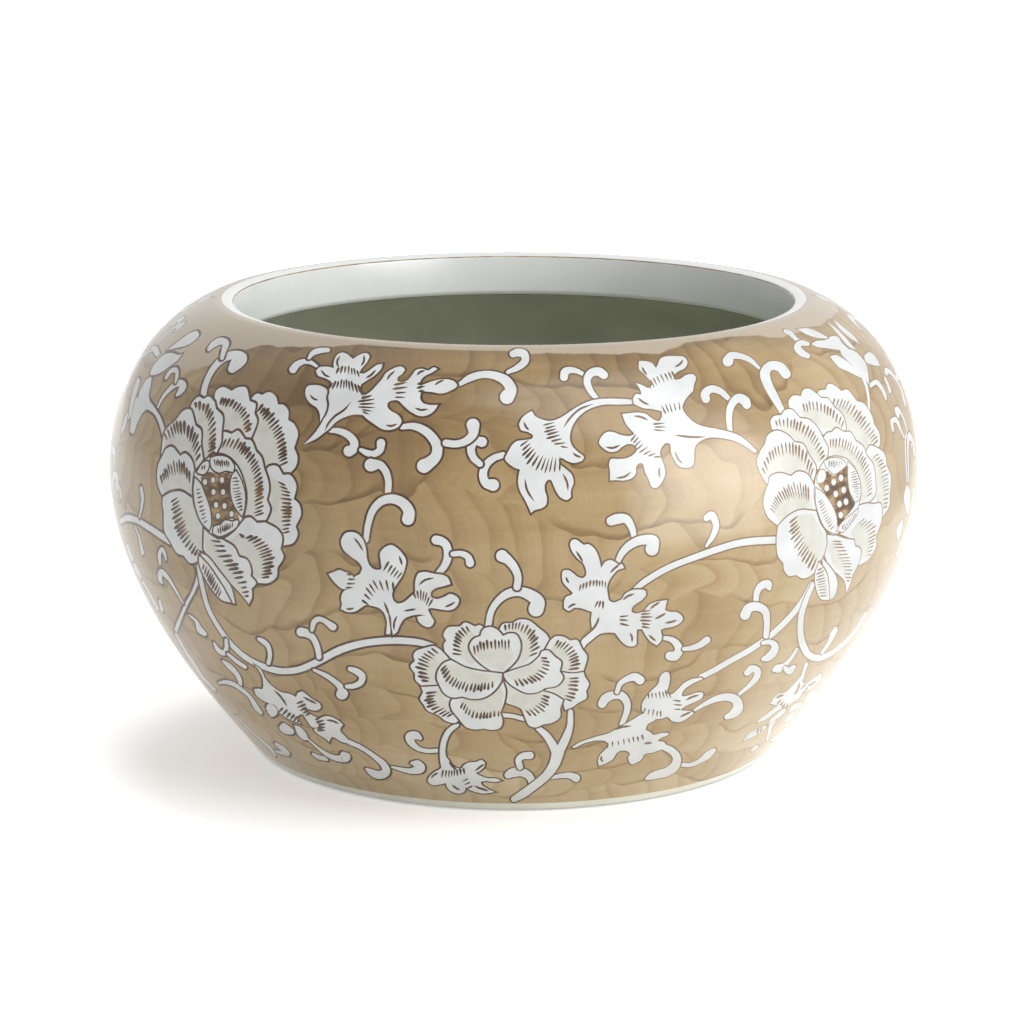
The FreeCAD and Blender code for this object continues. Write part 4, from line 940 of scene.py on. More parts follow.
# Its seed pod: outline, brown field, small petals with their hatch rows, dots and dot size
RIGHT_PEONY_POD = ([(816, 476, 1), (821, 466), (828, 458), (838, 456.5), (848, 460), (856, 470),
                    (860.5, 485), (860, 500), (856, 512), (848, 524), (840, 532), (833, 535, 1),
                    (826, 530), (819, 517), (815, 500), (814.5, 487)],
                   [(818, 485), (823, 480), (827, 471), (834, 476), (840, 471), (847, 466), (848, 480),
                    (850, 493), (855, 503), (850, 512), (845, 518), (839, 527), (837, 524), (836, 514),
                    (830, 501), (823, 491)],
                   [([(824, 461, 1), (832, 458), (842, 459.5), (846, 465), (840, 471, 1), (834, 474),
                      (829, 470, 1), (826, 467)], [(828, 467), (835, 468), (842, 465)],
                     [(828, 461), (835, 460.5), (843, 461)], 8),
                    ([(817, 477, 1), (820, 470), (824, 470), (826, 476), (823, 482), (818, 483)], [], [],
                     0),
                    ([(816, 488, 1), (822, 492), (830, 502), (836, 515), (837, 526), (835, 534, 1),
                      (826, 529), (819, 515), (815.5, 500)], [(822, 497), (829, 513), (835, 527)],
                     [(818, 501), (823, 517), (831, 531)], 11),
                    ([(848, 462, 1), (855, 469), (860, 483), (859.5, 499), (855, 502, 1), (850, 492),
                      (848, 478)], [(850, 472), (852, 486), (856, 498)],
                     [(856, 470), (859, 485), (859, 497)], 11),
                    ([(838, 531, 1), (840, 525), (846, 519, 1), (852, 514), (858, 509), (857, 514),
                      (850, 524), (843, 532)], [(841, 525), (848, 520), (855, 512)],
                     [(843, 531), (850, 525), (857, 515)], 8)],
                   [(833.7, 482), (841, 478), (826.7, 488), (835.8, 494), (843.7, 490), (839.5, 504),
                    (846, 501.7), (840.8, 515)], 2.3)

# The small low peony, with its petals given in the same way
SMALL_PEONY_PETALS = [
    ([(451, 659.5, 1), (445, 652), (444, 644), (446.5, 640.5, 1), (443.5, 635), (448, 627.5),
      (460, 626.5, 1), (465, 622.5), (475, 626.5, 1), (480, 625), (484, 628.5, 1), (486, 640),
      (498, 673, 1), (475, 675), (462, 668)], [(471, 632), (464, 637), (461, 645), (462, 656)],
     [(467, 625), (457, 631), (453, 643), (452.5, 655)], 15, [(470, 665), (480, 660), (480, 640)]),
    ([(499.5, 629, 1), (503, 624), (513, 623, 1), (519, 619.5), (529, 620.5), (540, 629, 1), (547, 635),
      (549.5, 643), (543, 650.5, 1), (539, 658), (525, 669), (505, 675, 1), (508, 655), (508, 640)],
     [(504, 631), (517, 630), (527, 637), (530, 648), (528, 658)],
     [(503, 625), (518, 622), (534, 630), (539, 645), (538, 654)], 21,
     [(520, 666), (508, 660), (508, 640)]),
    ([(480.5, 636, 1), (483, 629.5), (490, 627), (497, 629.5), (503, 636, 1), (509, 633.5), (516, 634.5),
      (520.5, 644), (518, 657), (511, 666), (501.5, 673.5, 1), (490, 670), (475, 658), (469.5, 647),
      (473.5, 639)], [(473, 656), (481, 651), (495, 649), (511, 650)],
     [(472, 648), (480, 642), (495, 640), (511, 639.5)], 17, [(514, 658), (502, 671), (485, 664)]),
    ([(545, 650, 1), (550, 641, 1), (555, 636.5), (563, 636.5), (570, 640.5, 1), (577, 640),
      (582, 649, 1), (587, 656), (583.5, 671, 1), (572, 676), (558, 676, 1), (556, 668), (558, 662),
      (550, 655)], [(553, 646), (563, 651), (569, 660), (569, 671)],
     [(556, 640), (570, 644), (579, 657), (580, 670)], 16, [(562, 672), (560, 662), (550, 650)]),
    ([(560, 672, 1), (573, 673.5), (583.5, 672, 1), (585, 677), (589, 684), (586, 691, 1), (586.5, 698),
      (578, 703, 1), (573, 707), (565, 710, 1), (562, 701), (552, 695), (542, 692, 1), (552, 686),
      (558, 678)], [(569, 677), (568, 688), (564, 700)], [(579, 676), (578, 690), (572, 703)], 13,
     [(560, 698), (552, 690), (562, 678)]),
    ([(503, 676, 1), (510, 684), (520, 691.5), (529, 693.5), (542, 691, 1), (553, 694), (563, 700, 1),
      (560, 709, 1), (560, 717), (553, 722.5), (543, 724.5, 1), (536, 727.5), (529, 725.5),
      (524.5, 716, 1), (521, 709), (506.5, 703, 1), (505, 690)],
     [(525, 711), (535, 706), (541, 699), (542, 693)], [(530, 717), (542, 713), (549, 703), (549, 695)],
     11, [(530, 694), (508, 684), (508, 702)]),
    ([(503, 674, 1), (515, 669.5), (531, 664), (540, 656, 1), (542, 651.5), (548, 650.5), (555, 657, 1),
      (561, 662), (559.5, 671, 1), (563, 678), (557, 685.5), (545, 688, 1), (538, 692), (527, 693),
      (515, 687.5), (507, 681)], [(513, 679), (525, 678), (536, 672), (542, 663), (539, 656)],
     [(517, 687), (530, 684), (544, 678), (550, 666), (547, 656)], 19,
     [(534, 663), (515, 671), (505, 675)]),
    ([(450, 660, 1), (441, 650, 1), (434, 646), (425, 648), (416, 651), (413.5, 656), (415, 661, 1),
      (410.5, 666), (415, 673.5, 1), (415.5, 680), (422, 686, 1), (432, 686), (442, 687, 1), (438, 676),
      (442, 667)], [(440, 653), (430, 662), (428, 672), (430, 683)],
     [(433, 647), (420, 657), (416, 667), (421, 682)], 15, [(438, 684), (436, 674), (447, 659)]),
    ([(421, 687, 1), (423, 692), (420, 699), (424, 705, 1), (427, 710), (438, 715, 1), (446, 721),
      (455, 723), (459, 720, 1), (456, 712), (453, 703), (456, 697, 1), (444, 693), (440, 686, 1)],
     [(437, 690), (435, 700), (441, 707), (457, 713)], [(427, 691), (425, 701), (433, 713), (449, 718)],
     11, [(452, 706), (446, 696), (440, 688)]),
    ([(453, 698, 1), (462, 696.5), (474, 697), (485, 695.5), (492, 689), (502, 679, 1), (505.5, 690),
      (504.5, 701), (500, 713, 1), (502.5, 721), (500, 728), (492, 730), (484, 728.5, 1), (475, 729.5),
      (466, 727), (459, 719, 1), (452, 710), (450.5, 703)],
     [(462, 700), (472, 710), (484, 712), (500, 710)], [(459, 706), (470, 717), (484, 719), (500, 716)],
     14, [(504, 695), (500, 685), (484, 699), (465, 698)]),
    ([(451, 660, 1), (464, 667), (480, 671), (502, 673.5, 1), (501, 681), (494, 691), (484, 697.5),
      (473, 699), (462, 696.5, 1), (452, 697.5), (444, 693), (440, 686, 1), (437, 679), (438, 671),
      (444, 663)], [(446, 663), (452, 675), (466, 682), (482, 683), (494, 681)],
     [(440, 669), (446, 682), (464, 691), (482, 691), (494, 688)], 20,
     [(501, 676), (478, 672), (455, 664)])]

# The scroll, painted from the back to the front
for stroke in VINE_STROKES:
    paint_group([stroke_outline(stroke)])
paint_spray([], stems=FORKED_STEM_STROKES)
for spray in OUTER_LEAF_SPRAYS + LEAF_SPRAYS:
    paint_spray(*spray)
paint_peony(LEFT_PEONY_PETALS, LEFT_PEONY_LEAF, LEFT_PEONY_LOW_PETAL, LEFT_PEONY_POD)
paint_peony(RIGHT_PEONY_PETALS, RIGHT_PEONY_LEAF, RIGHT_PEONY_LOW_PETAL, RIGHT_PEONY_POD)
for petal in SMALL_PEONY_PETALS:
    paint_petal(*petal)


# The painted wall cut into faces along every drawn outline

def with_side_motifs(drawn):
    """The shapes, with the middle motif again at each side, in the strip that the photo hardly shows."""
    spread = {}
    for chart, _, owner, _ in drawn:
        low, high = spread.get(owner, (HALF_TURN, -HALF_TURN))
        spread[owner] = (min(low, chart[:, 0].min()), max(high, chart[:, 0].max()))
    kept = [shape for shape in drawn if abs(sum(spread[shape[2]])) / 2 < SIDE_CLEAR]
    copies = []
    for chart, label, owner, only_on in kept:
        if max(map(abs, spread[owner])) < SIDE_FILL_REACH:
            turned = None if only_on is None else only_on + owners
            copies.append((chart + np.array([QUARTER_TURN, 0]), label, owner + owners, turned))
    return kept + copies


def flat(chart):
    """Angle and length along the wall as flat places on the chart."""
    return chart * np.array([CHART_RADIUS, 1]) * CHART_SCALE


def with_neighbours(chart):
    """The outline, and its copy half a turn on where it reaches over the edge of the chart."""
    yield chart
    if chart[:, 0].min() < -QUARTER_TURN:
        yield chart + np.array([HALF_TURN, 0])
    if chart[:, 0].max() > QUARTER_TURN:
        yield chart - np.array([HALF_TURN, 0])


def inside(spots, ring):
    """Which spots the ring winds round."""
    ahead = np.roll(ring, -1, axis=0)
    turns = np.zeros(len(spots), int)
    for (x0, y0), (x1, y1) in zip(ring, ahead):
        left = (x1 - x0) * (spots[:, 1] - y0) - (spots[:, 0] - x0) * (y1 - y0)
        turns += (y0 <= spots[:, 1]) & (y1 > spots[:, 1]) & (left > 0)
        turns -= (y0 > spots[:, 1]) & (y1 <= spots[:, 1]) & (left < 0)
    return turns != 0


def chart_frame_and_grid():
    """Flat places round the edge of the chart, and those of the grid inside it."""
    rows = int(wall_length / GRID_STEP)
    turns = np.linspace(-QUARTER_TURN, QUARTER_TURN, COLUMNS // 2 + 1)
    runs = np.linspace(0, wall_length, rows + 1)
    edge = ([(t, 0) for t in turns] + [(turns[-1], r) for r in runs[1:-1]]
            + [(t, wall_length) for t in turns[::-1]] + [(turns[0], r) for r in runs[-2:0:-1]])
    across = int(HALF_TURN * CHART_RADIUS / GRID_STEP)
    grid = [(-QUARTER_TURN + HALF_TURN * (c + GRID_SHIFT * (r % 2) + GRID_START) / across, runs[r])
            for r in range(1, rows) for c in range(across)]
    return flat(np.array(edge)), flat(np.array(grid))


def ring_edges(first, count):
    """Pairs that join numbered places into a ring."""
    return [(first + i, first + (i + 1) % count) for i in range(count)]


def face_labels(rings, middles):
    """The paint of each face, from the last ring round its middle; the middles run from left to right."""
    labels = np.full(len(middles), GROUND)
    owner_of = np.zeros(len(middles), int)
    for ring, label, owner, only_on in rings:
        first, last = np.searchsorted(middles[:, 0], [ring[:, 0].min(), ring[:, 0].max()])
        near = np.arange(first, last)
        tall = middles[near, 1]
        near = near[(tall > ring[:, 1].min()) & (tall < ring[:, 1].max())]
        if only_on is not None:
            near = near[(owner_of[near] == only_on) & (labels[near] != LINE)]
        if not len(near):
            continue
        hit = near[inside(middles[near], ring)]
        labels[hit] = label
        owner_of[hit] = owner
    return labels


def cut_chart(drawn):
    """Flat places and triangles of the half-turn chart, with the label of each triangle."""
    edge_spots, grid_spots = chart_frame_and_grid()
    spots = [edge_spots, grid_spots]
    edges = ring_edges(0, len(edge_spots))
    count = len(edge_spots) + len(grid_spots)
    rings = []
    for chart, label, owner, only_on in drawn:
        for copy in with_neighbours(chart):
            ring = flat(copy)
            rings.append((ring, label, owner, only_on))
            spots.append(ring)
            edges += ring_edges(count, len(ring))
            count += len(ring)
    flat_points = [Vector(p) for p in np.vstack(spots)]
    places, _, triangles, *_ = delaunay_2d_cdt(flat_points, edges, [], 0, CUT_TOLERANCE, False)
    places = np.array([tuple(v) for v in places])
    triangles = np.array(triangles)
    middles = places[triangles].mean(axis=1)
    triangles = triangles[np.abs(middles[:, 0]) < QUARTER_TURN * CHART_RADIUS * CHART_SCALE]
    middles = places[triangles].mean(axis=1)
    order = np.argsort(middles[:, 0])
    triangles, middles = triangles[order], middles[order]
    labels = face_labels(rings, middles)
    used, index = np.unique(triangles, return_inverse=True)
    return places[used], index.reshape(-1, 3), labels


# The rest of the bowl: lip, inside, underside and foot band

def rest_of_section():
    """The section from the paint's upper edge over the lip, inside and under the foot to its lower edge."""
    section = [tuple(wall[-1])]
    section += [tuple(p) for p in loop[top_at + 1:]
                if p[0] < PAINT_TOP_RADIUS - LIP_GAP or p[1] < THROAT_LEVEL]
    section += [tuple(p) for p in loop[:paint_at + 1]]
    cuts = ((0, RING_LINE_RADIUS + RING_LINE_WIDTH / 2), (0, RING_LINE_RADIUS - RING_LINE_WIDTH / 2),
            (1, THROAT_LEVEL))
    for axis, level in cuts:
        for i in range(len(section) - 1):
            a, b = section[i][axis], section[i + 1][axis]
            if a > level > b:
                share = (a - level) / (a - b)
                between = np.array(section[i]) * (1 - share) + np.array(section[i + 1]) * share
                section.insert(i + 1, tuple(between))
                break
    return np.array(section)


def rest_labels(section):
    """Which coat covers each band of the section beyond the painted wall."""
    labels = []
    gone_in = False
    gone_under = False
    for a, b in zip(section[:-1], section[1:]):
        radius, height = (a + b) / 2
        gone_in = gone_in or height < THROAT_LEVEL
        gone_under = gone_under or (gone_in and radius < DRAIN_REACH and height < FLOOR_LEVEL)
        if not gone_in:
            on_line = abs(radius - RING_LINE_RADIUS) < RING_LINE_WIDTH / 2
            labels.append(RING_LINE if on_line else LIP)
        elif not gone_under:
            labels.append(INSIDE)
        elif height < FOOT_STAND or radius < FOOT_INNER:
            labels.append(UNDER)
        else:
            labels.append(FOOT_BAND)
    return labels


# The bowl's mesh: the painted wall at the front and again at the back, and the rest as rings of quads

def round_places(turn, radius, height):
    return np.column_stack([radius * np.sin(turn), -radius * np.cos(turn), height])


def bowl_mesh(section):
    """The whole bowl, still open along the seams, with its paint numbers and its flat chart."""
    flat_spots, triangles, labels = cut_chart(with_side_motifs(shapes))
    turns = flat_spots[:, 0] / CHART_SCALE / CHART_RADIUS
    runs = flat_spots[:, 1] / CHART_SCALE
    front = round_places(turns, wall_radius(runs), wall_height(runs))
    back = round_places(turns + HALF_TURN, wall_radius(runs), wall_height(runs))
    wide = COLUMNS + 1
    ring_turns = np.tile(np.arange(wide) * (FULL_TURN / COLUMNS) - QUARTER_TURN, len(section))
    rings = round_places(ring_turns, np.repeat(section[:, 0], wide), np.repeat(section[:, 1], wide))
    count = len(front)
    quads = []
    for j in range(len(section) - 1):
        for i in range(2 * count + j * wide, 2 * count + j * wide + COLUMNS):
            quads.append((i, i + 1, i + 1 + wide, i + wide))
    faces = triangles.tolist() + (triangles + count).tolist() + quads
    quad_labels = [label for label in rest_labels(section) for _ in range(COLUMNS)]
    face_paints = np.concatenate([labels, labels, quad_labels]).astype(np.int32)

    mesh = bpy.data.meshes.new("painted_bowl")
    mesh.from_pydata(np.vstack([front, back, rings]).tolist(), [], faces)
    mesh.polygons.foreach_set("material_index", face_paints)
    mesh.polygons.foreach_set("use_smooth", np.ones(len(faces), bool))

    section_run = run_along(section)
    chart_across = np.concatenate([turns, turns + HALF_TURN, ring_turns]) / FULL_TURN
    chart_across += QUARTER_TURN / FULL_TURN
    on_wall = runs / wall_length / 2
    on_rest = 0.5 + np.repeat(section_run, wide) / section_run[-1] / 2
    chart_up = np.concatenate([on_wall, on_wall, on_rest])
    corner = np.zeros(len(mesh.loops), np.int32)
    mesh.loops.foreach_get("vertex_index", corner)
    chart = np.column_stack([chart_across[corner], chart_up[corner]]).astype(np.float32)
    mesh.uv_layers.new(name="OFBake").data.foreach_set("uv", chart.ravel())
    return mesh


def weld_and_sharpen(mesh, section):
    """Closes the seams, and marks the rings where the section bends sharply."""
    joined = bmesh.new()
    joined.from_mesh(mesh)
    bmesh.ops.remove_doubles(joined, verts=joined.verts, dist=WELD)
    heading = np.diff(section, axis=0)
    heading /= np.linalg.norm(heading, axis=1)[:, None]
    bends = np.degrees(np.arccos(np.clip(np.sum(heading[:-1] * heading[1:], axis=1), -1, 1)))
    sharp_spots = section[1:-1][bends > SHARP_BEND]
    for edge in joined.edges:
        first, second = edge.verts[0].co, edge.verts[1].co
        if abs(first.z - second.z) < WELD:
            reach = math.hypot(first.x, first.y)
            if any(abs(first.z - z) < WELD and abs(reach - r) < WELD for r, z in sharp_spots):
                edge.smooth = False
    joined.to_mesh(mesh)
    joined.free()


def smooth_wall(mesh):
    """Gives the painted wall the facing of its true curve, so that the cuts don't show."""
    places = np.zeros(len(mesh.vertices) * 3)
    mesh.vertices.foreach_get("co", places)
    places = places.reshape(-1, 3)
    height = places[:, 2]
    radius = np.hypot(places[:, 0], places[:, 1])
    off_wall = np.abs(radius - np.interp(height, wall_climb, wall[:, 0]))
    painted = (off_wall < ON_WALL) & (height > PAINT_LOW + WELD)
    run = np.interp(height, wall_climb, wall_run)
    outward, upward = (np.interp(run, wall_run, wall_slope[:, k]) for k in (0, 1))
    facing = np.column_stack([places[:, 0] / radius * upward, places[:, 1] / radius * upward, -outward])
    facing[~painted] = 0
    mesh.normals_split_custom_set_from_vertices(facing.tolist())


rest_section = rest_of_section()
shell = bowl_mesh(rest_section)
weld_and_sharpen(shell, rest_section)
smooth_wall(shell)
bowl = bpy.data.objects.new("painted_bowl", shell)
bpy.context.scene.collection.objects.link(bowl)
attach(bowl, "vessel")
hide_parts("porcelain_body")


# Paints and glazes

# How a screen's colour values turn into light
SCREEN_FULL = 255
SCREEN_DARK = 10
SCREEN_DARK_DIVISOR = 3294.6
SCREEN_OFFSET = 0.055
SCREEN_POWER = 2.4

# The glaze over most of the paints, with its faint dimples
GLAZE_ROUGHNESS = 0.2
INSIDE_ROUGHNESS = 0.3
GLAZE_IOR = 1.5
DIMPLE_SCALE = 220
DIMPLE_STRENGTH = 0.12
DIMPLE_DEPTH = 0.0004

# The dabs of the wash: their rows are counted by the angle about a point inside the bowl's section
NOISE_MIDDLE = 0.5
ROW_MIDDLE = 0.5
ROW_RUN = 0.021
DAB_COUNT = 84
WALL_HEART_RADIUS = 0.05
WALL_HEART_LEVEL = 0.085
WALL_HEART_REACH = 0.117
DRIFT_SCALE = 15.0
ROW_DRIFT = 3.2
DAB_DRIFT = 4.0
DAB_SHUFFLE = 9.0
BOW_LEAST = 0.6
BOW_SPREAD = 3.0
DAB_START = 0.05
RIPPLES_PER_DAB = 4
CLOUD_SCALE = 17
CLOUD_SHUFFLE = 7.0
OVERLAP_EDGES = (0.02, 0.14)
OVERLAP_PATCH_SCALE = 30
OVERLAP_PATCH_EDGES = (0.4, 0.6)
STREAK_SCALE_ROUND = 22.0
STREAK_SCALE_CLIMB = 34.0
STREAK_ROUGHNESS = 0.6
GRAIN_SCALE = 520

# What each mark adds to the tone of the wash, where 0 is dark and 1 is light
MEAN_TONE = 0.56
CLOUD_WEIGHT = 0.6
POOL_WEIGHT = -0.22
OVERLAP_WEIGHT = -0.25
RIPPLE_WEIGHT = 0.018
STREAK_WEIGHT = 0.17
GRAIN_WEIGHT = 0.07
WASH_TONES = ((0.1, (108, 83, 48)), (0.35, (144, 117, 76)), (0.56, (173, 147, 103)), (0.95, (206, 187, 151)))

# Painted light and shade on the whole wash: painted shade at the shoulder, most at the left away from the
# lamps; a painted sheen lighter at the right; painted bounce light near the foot. Metres across and up,
# radians aside
SHOULDER_ACROSS = (-0.1, 0.1)
SHOULDER_PAINTED_SHADE = (-0.32, -0.12)
SHOULDER_LEVELS = (0.12, 0.165)
SHOULDER_ASIDE = (0.2, 0.5)
RIGHT_ACROSS = (0.03, 0.12)
RIGHT_PAINTED_SHEEN = 0.16
FOOT_LEVELS = (0.015, 0.05)
FOOT_PAINTED_BOUNCE = 0.2

# The thin wash next to the lip, which hangs lower at the left, where it is also a painted sheen: the pale
# reflection at that upper edge
THIN_WASH_LEVEL = 0.1766
THIN_SIDE_ANGLE = 1.25
THIN_WAVE_SCALE = 12
THIN_WAVE_MIDDLE = 0.6
THIN_WAVE = 0.016
THIN_FRAY_SCALE = 90
THIN_FRAY = -0.002
THIN_SIDE_EDGES = (0.17, 0.47)
THIN_WASH_AND_SHEEN_DROP = 0.018
THIN_EDGE_RUN = 0.003
THIN_EDGE_WEIGHT = -0.12
THIN_SIDE_SOFTNESS = 0.08
THIN_FADE = (-0.0001, 0.0003)
THIN_SHARE = 0.8
THIN_COLOUR = (196, 182, 160)


def tint(red, green, blue):
    """A colour named by its usual screen values, as the renderer's light values."""
    light = []
    for value in (red, green, blue):
        if value <= SCREEN_DARK:
            light.append(value / SCREEN_DARK_DIVISOR)
        else:
            light.append(((value / SCREEN_FULL + SCREEN_OFFSET) / (1 + SCREEN_OFFSET)) ** SCREEN_POWER)
    return (*light, 1)


class Paint:
    """A material with a few short ways to add nodes."""

    def __init__(self, name, roughness):
        self.material = bpy.data.materials.new(name)
        self.material.use_nodes = True
        self.tree = self.material.node_tree
        self.tree.nodes.clear()
        output = self.tree.nodes.new("ShaderNodeOutputMaterial")
        self.shader = self.tree.nodes.new("ShaderNodeBsdfPrincipled")
        self.shader.inputs["Roughness"].default_value = roughness
        self.tree.links.new(self.shader.outputs[0], output.inputs["Surface"])
        self.place = self.node("ShaderNodeTexCoord").outputs["Object"]

    def feed(self, socket, value):
        if isinstance(value, bpy.types.NodeSocket):
            self.tree.links.new(value, socket)
        else:
            socket.default_value = value

    def node(self, kind, inputs=(), **settings):
        made = self.tree.nodes.new(kind)
        for key, value in settings.items():
            setattr(made, key, value)
        for key, value in dict(inputs).items():
            self.feed(made.inputs[key], value)
        return made

    def noise(self, scale, detail=2.0, place=None, rough=0.5):
        inputs = {"Vector": place or self.place, "Scale": scale, "Detail": detail, "Roughness": rough}
        return self.node("ShaderNodeTexNoise", inputs).outputs["Fac"]

    def maths(self, kind, first, second=0.0, third=0.0):
        return self.node("ShaderNodeMath", {0: first, 1: second, 2: third}, operation=kind).outputs[0]

    def times(self, first, second):
        return self.maths("MULTIPLY", first, second)

    def less(self, first, second):
        return self.maths("SUBTRACT", first, second)

    def plus(self, first, weight, total):
        """The total with a weighted value added."""
        return self.maths("MULTIPLY_ADD", first, weight, total)

    def parts(self, vector):
        return self.node("ShaderNodeSeparateXYZ", {"Vector": vector}).outputs

    def vector(self, x=0.0, y=0.0, z=0.0):
        return self.node("ShaderNodeCombineXYZ", {"X": x, "Y": y, "Z": z}).outputs[0]

    def distance(self, middle):
        made = self.node("ShaderNodeVectorMath", {0: self.place, 1: middle}, operation="DISTANCE")
        return made.outputs["Value"]

    def stretched(self, x, y, z):
        return self.node("ShaderNodeMapping", {"Vector": self.place, "Scale": (x, y, z)}).outputs[0]

    def fade(self, value, low, high, to_low=0.0, to_high=1.0):
        inputs = {"Value": value, "From Min": low, "From Max": high, "To Min": to_low, "To Max": to_high}
        return self.node("ShaderNodeMapRange", inputs, interpolation_type="SMOOTHSTEP").outputs[0]

    def ramp(self, value, stops):
        """Colours by value, from stops of a value and a tint."""
        made = self.node("ShaderNodeValToRGB", {"Fac": value})
        band = made.color_ramp.elements
        while len(band) < len(stops):
            band.new(0.5)
        for element, (at, colour) in zip(band, stops):
            element.position = at
            element.color = tint(*colour)
        return made.outputs["Color"]

    def mix(self, share, first, second):
        made = self.node("ShaderNodeMix", data_type="RGBA", blend_type="MIX")
        for key, value in (("Factor_Float", share), ("A_Color", first), ("B_Color", second)):
            self.feed(next(s for s in made.inputs if s.identifier == key), value)
        return next(s for s in made.outputs if s.identifier == "Result_Color")

    def colour(self, value):
        self.feed(self.shader.inputs["Base Color"], value)

    def bump(self, height, strength, distance):
        made = self.node("ShaderNodeBump", {"Height": height, "Strength": strength, "Distance": distance})
        self.feed(self.shader.inputs["Normal"], made.outputs[0])

    def glaze(self):
        self.shader.inputs["IOR"].default_value = GLAZE_IOR
        self.bump(self.noise(DIMPLE_SCALE), DIMPLE_STRENGTH, DIMPLE_DEPTH)


def wash_tone(paint, across, deep, height, around):
    """Tone of the wash: rows round the wall, each laid in rounded dabs that are darkest where they start."""
    plus, times, less, fade = paint.plus, paint.times, paint.less, paint.fade
    radius = paint.maths("SQRT", plus(across, across, times(deep, deep)))
    climb = paint.maths("ARCTAN2", less(height, WALL_HEART_LEVEL), less(radius, WALL_HEART_RADIUS))
    drift = paint.node("ShaderNodeTexNoise", {"Vector": paint.place, "Scale": DRIFT_SCALE, "Detail": 3.0})
    drift_up, drift_along, unevenness = paint.parts(drift.outputs["Color"])
    rise = plus(less(drift_up, NOISE_MIDDLE), ROW_DRIFT, times(climb, WALL_HEART_REACH / ROW_RUN))
    row = paint.maths("FLOOR", rise)
    row_share = paint.maths("FRACT", rise)
    chance = paint.node("ShaderNodeTexWhiteNoise", {"W": row}, noise_dimensions="1D").outputs
    bow = paint.maths("POWER", paint.maths("ABSOLUTE", less(row_share, ROW_MIDDLE)), 2.0)
    bow = times(bow, plus(chance["Value"], BOW_SPREAD, BOW_LEAST))
    turn = plus(around, DAB_COUNT / math.tau, bow)
    turn = plus(chance["Value"], DAB_SHUFFLE, turn)
    turn = plus(drift_along, DAB_DRIFT, turn)
    dab_share = paint.maths("FRACT", turn)
    dab = paint.vector(paint.maths("FLOOR", turn), row)
    luck = paint.node("ShaderNodeTexWhiteNoise", {"Vector": dab}, noise_dimensions="2D").outputs["Value"]
    pool = times(paint.maths("POWER", less(1.0, dab_share), 2.0), luck)
    pool = times(pool, fade(dab_share, 0.0, DAB_START))
    ripple = paint.maths("SINE", times(turn, RIPPLES_PER_DAB * math.tau))
    inputs = {0: chance["Color"], 1: (CLOUD_SHUFFLE,) * 3, 2: paint.place}
    shuffled = paint.node("ShaderNodeVectorMath", inputs, operation="MULTIPLY_ADD").outputs[0]
    cloud = paint.noise(CLOUD_SCALE, place=shuffled)
    patches = fade(paint.noise(OVERLAP_PATCH_SCALE), *OVERLAP_PATCH_EDGES)
    overlap = times(fade(row_share, *OVERLAP_EDGES, 1.0, 0.0), patches)
    brushed = paint.vector(times(across, STREAK_SCALE_ROUND), times(deep, STREAK_SCALE_ROUND),
                           times(climb, STREAK_SCALE_CLIMB))
    streak = paint.noise(scale=1.0, detail=3, place=brushed, rough=STREAK_ROUGHNESS)
    tone = plus(less(cloud, NOISE_MIDDLE), CLOUD_WEIGHT, MEAN_TONE)
    tone = plus(pool, POOL_WEIGHT, tone)
    tone = plus(overlap, OVERLAP_WEIGHT, tone)
    tone = plus(times(ripple, unevenness), RIPPLE_WEIGHT, tone)
    tone = plus(less(streak, NOISE_MIDDLE), STREAK_WEIGHT, tone)
    return plus(less(paint.noise(GRAIN_SCALE), NOISE_MIDDLE), GRAIN_WEIGHT, tone)


def brown_wash():
    """The brown ground: the brushed wash, thin next to the lip, with painted shade at the shoulder, a painted
    sheen at the right and painted bounce light near the foot.
    """
    paint = Paint("brown_wash_ground", GLAZE_ROUGHNESS)
    plus, times, less, fade = paint.plus, paint.times, paint.less, paint.fade
    across, deep, height = paint.parts(paint.place)
    around = paint.maths("ARCTAN2", across, times(deep, -1.0))
    tone = wash_tone(paint, across, deep, height, around)
    aside = paint.maths("ABSOLUTE", paint.maths("ADD", around, THIN_SIDE_ANGLE))
    # Painted shade: the wash is made darker at the shoulder, most at the left, away from the light.
    shoulder = times(fade(across, *SHOULDER_ACROSS, *SHOULDER_PAINTED_SHADE), fade(aside, *SHOULDER_ASIDE))
    tone = plus(fade(height, *SHOULDER_LEVELS), shoulder, tone)
    # Painted sheen: the wash is made lighter towards the right, where the glaze's reflection falls.
    tone = paint.maths("ADD", tone, fade(across, *RIGHT_ACROSS, 0.0, RIGHT_PAINTED_SHEEN))
    # Painted bounce light: the wash is made lighter near the foot, as if lit from the floor below.
    tone = paint.maths("ADD", tone, fade(height, *FOOT_LEVELS, FOOT_PAINTED_BOUNCE, 0.0))
    edge = plus(less(paint.noise(THIN_WAVE_SCALE, detail=1), THIN_WAVE_MIDDLE), THIN_WAVE, THIN_WASH_LEVEL)
    edge = plus(less(paint.noise(THIN_FRAY_SCALE, detail=3), NOISE_MIDDLE), THIN_FRAY, edge)
    edge = paint.maths("MINIMUM", edge, THIN_WASH_LEVEL)
    # At the left the thin wash reaches lower; this is partly the real thin wash and partly a painted sheen.
    edge = less(edge, fade(aside, *THIN_SIDE_EDGES, THIN_WASH_AND_SHEEN_DROP, 0.0))
    over_edge = less(height, edge)
    tone = plus(fade(over_edge, -THIN_EDGE_RUN, 0.0), THIN_EDGE_WEIGHT, tone)
    wash = paint.ramp(tone, WASH_TONES)
    above = times(over_edge, fade(aside, *SHOULDER_ASIDE, THIN_SIDE_SOFTNESS, 1.0))
    thin = fade(above, *THIN_FADE, 0.0, THIN_SHARE)
    paint.colour(paint.mix(thin, wash, tint(*THIN_COLOUR)))
    paint.glaze()
    return paint


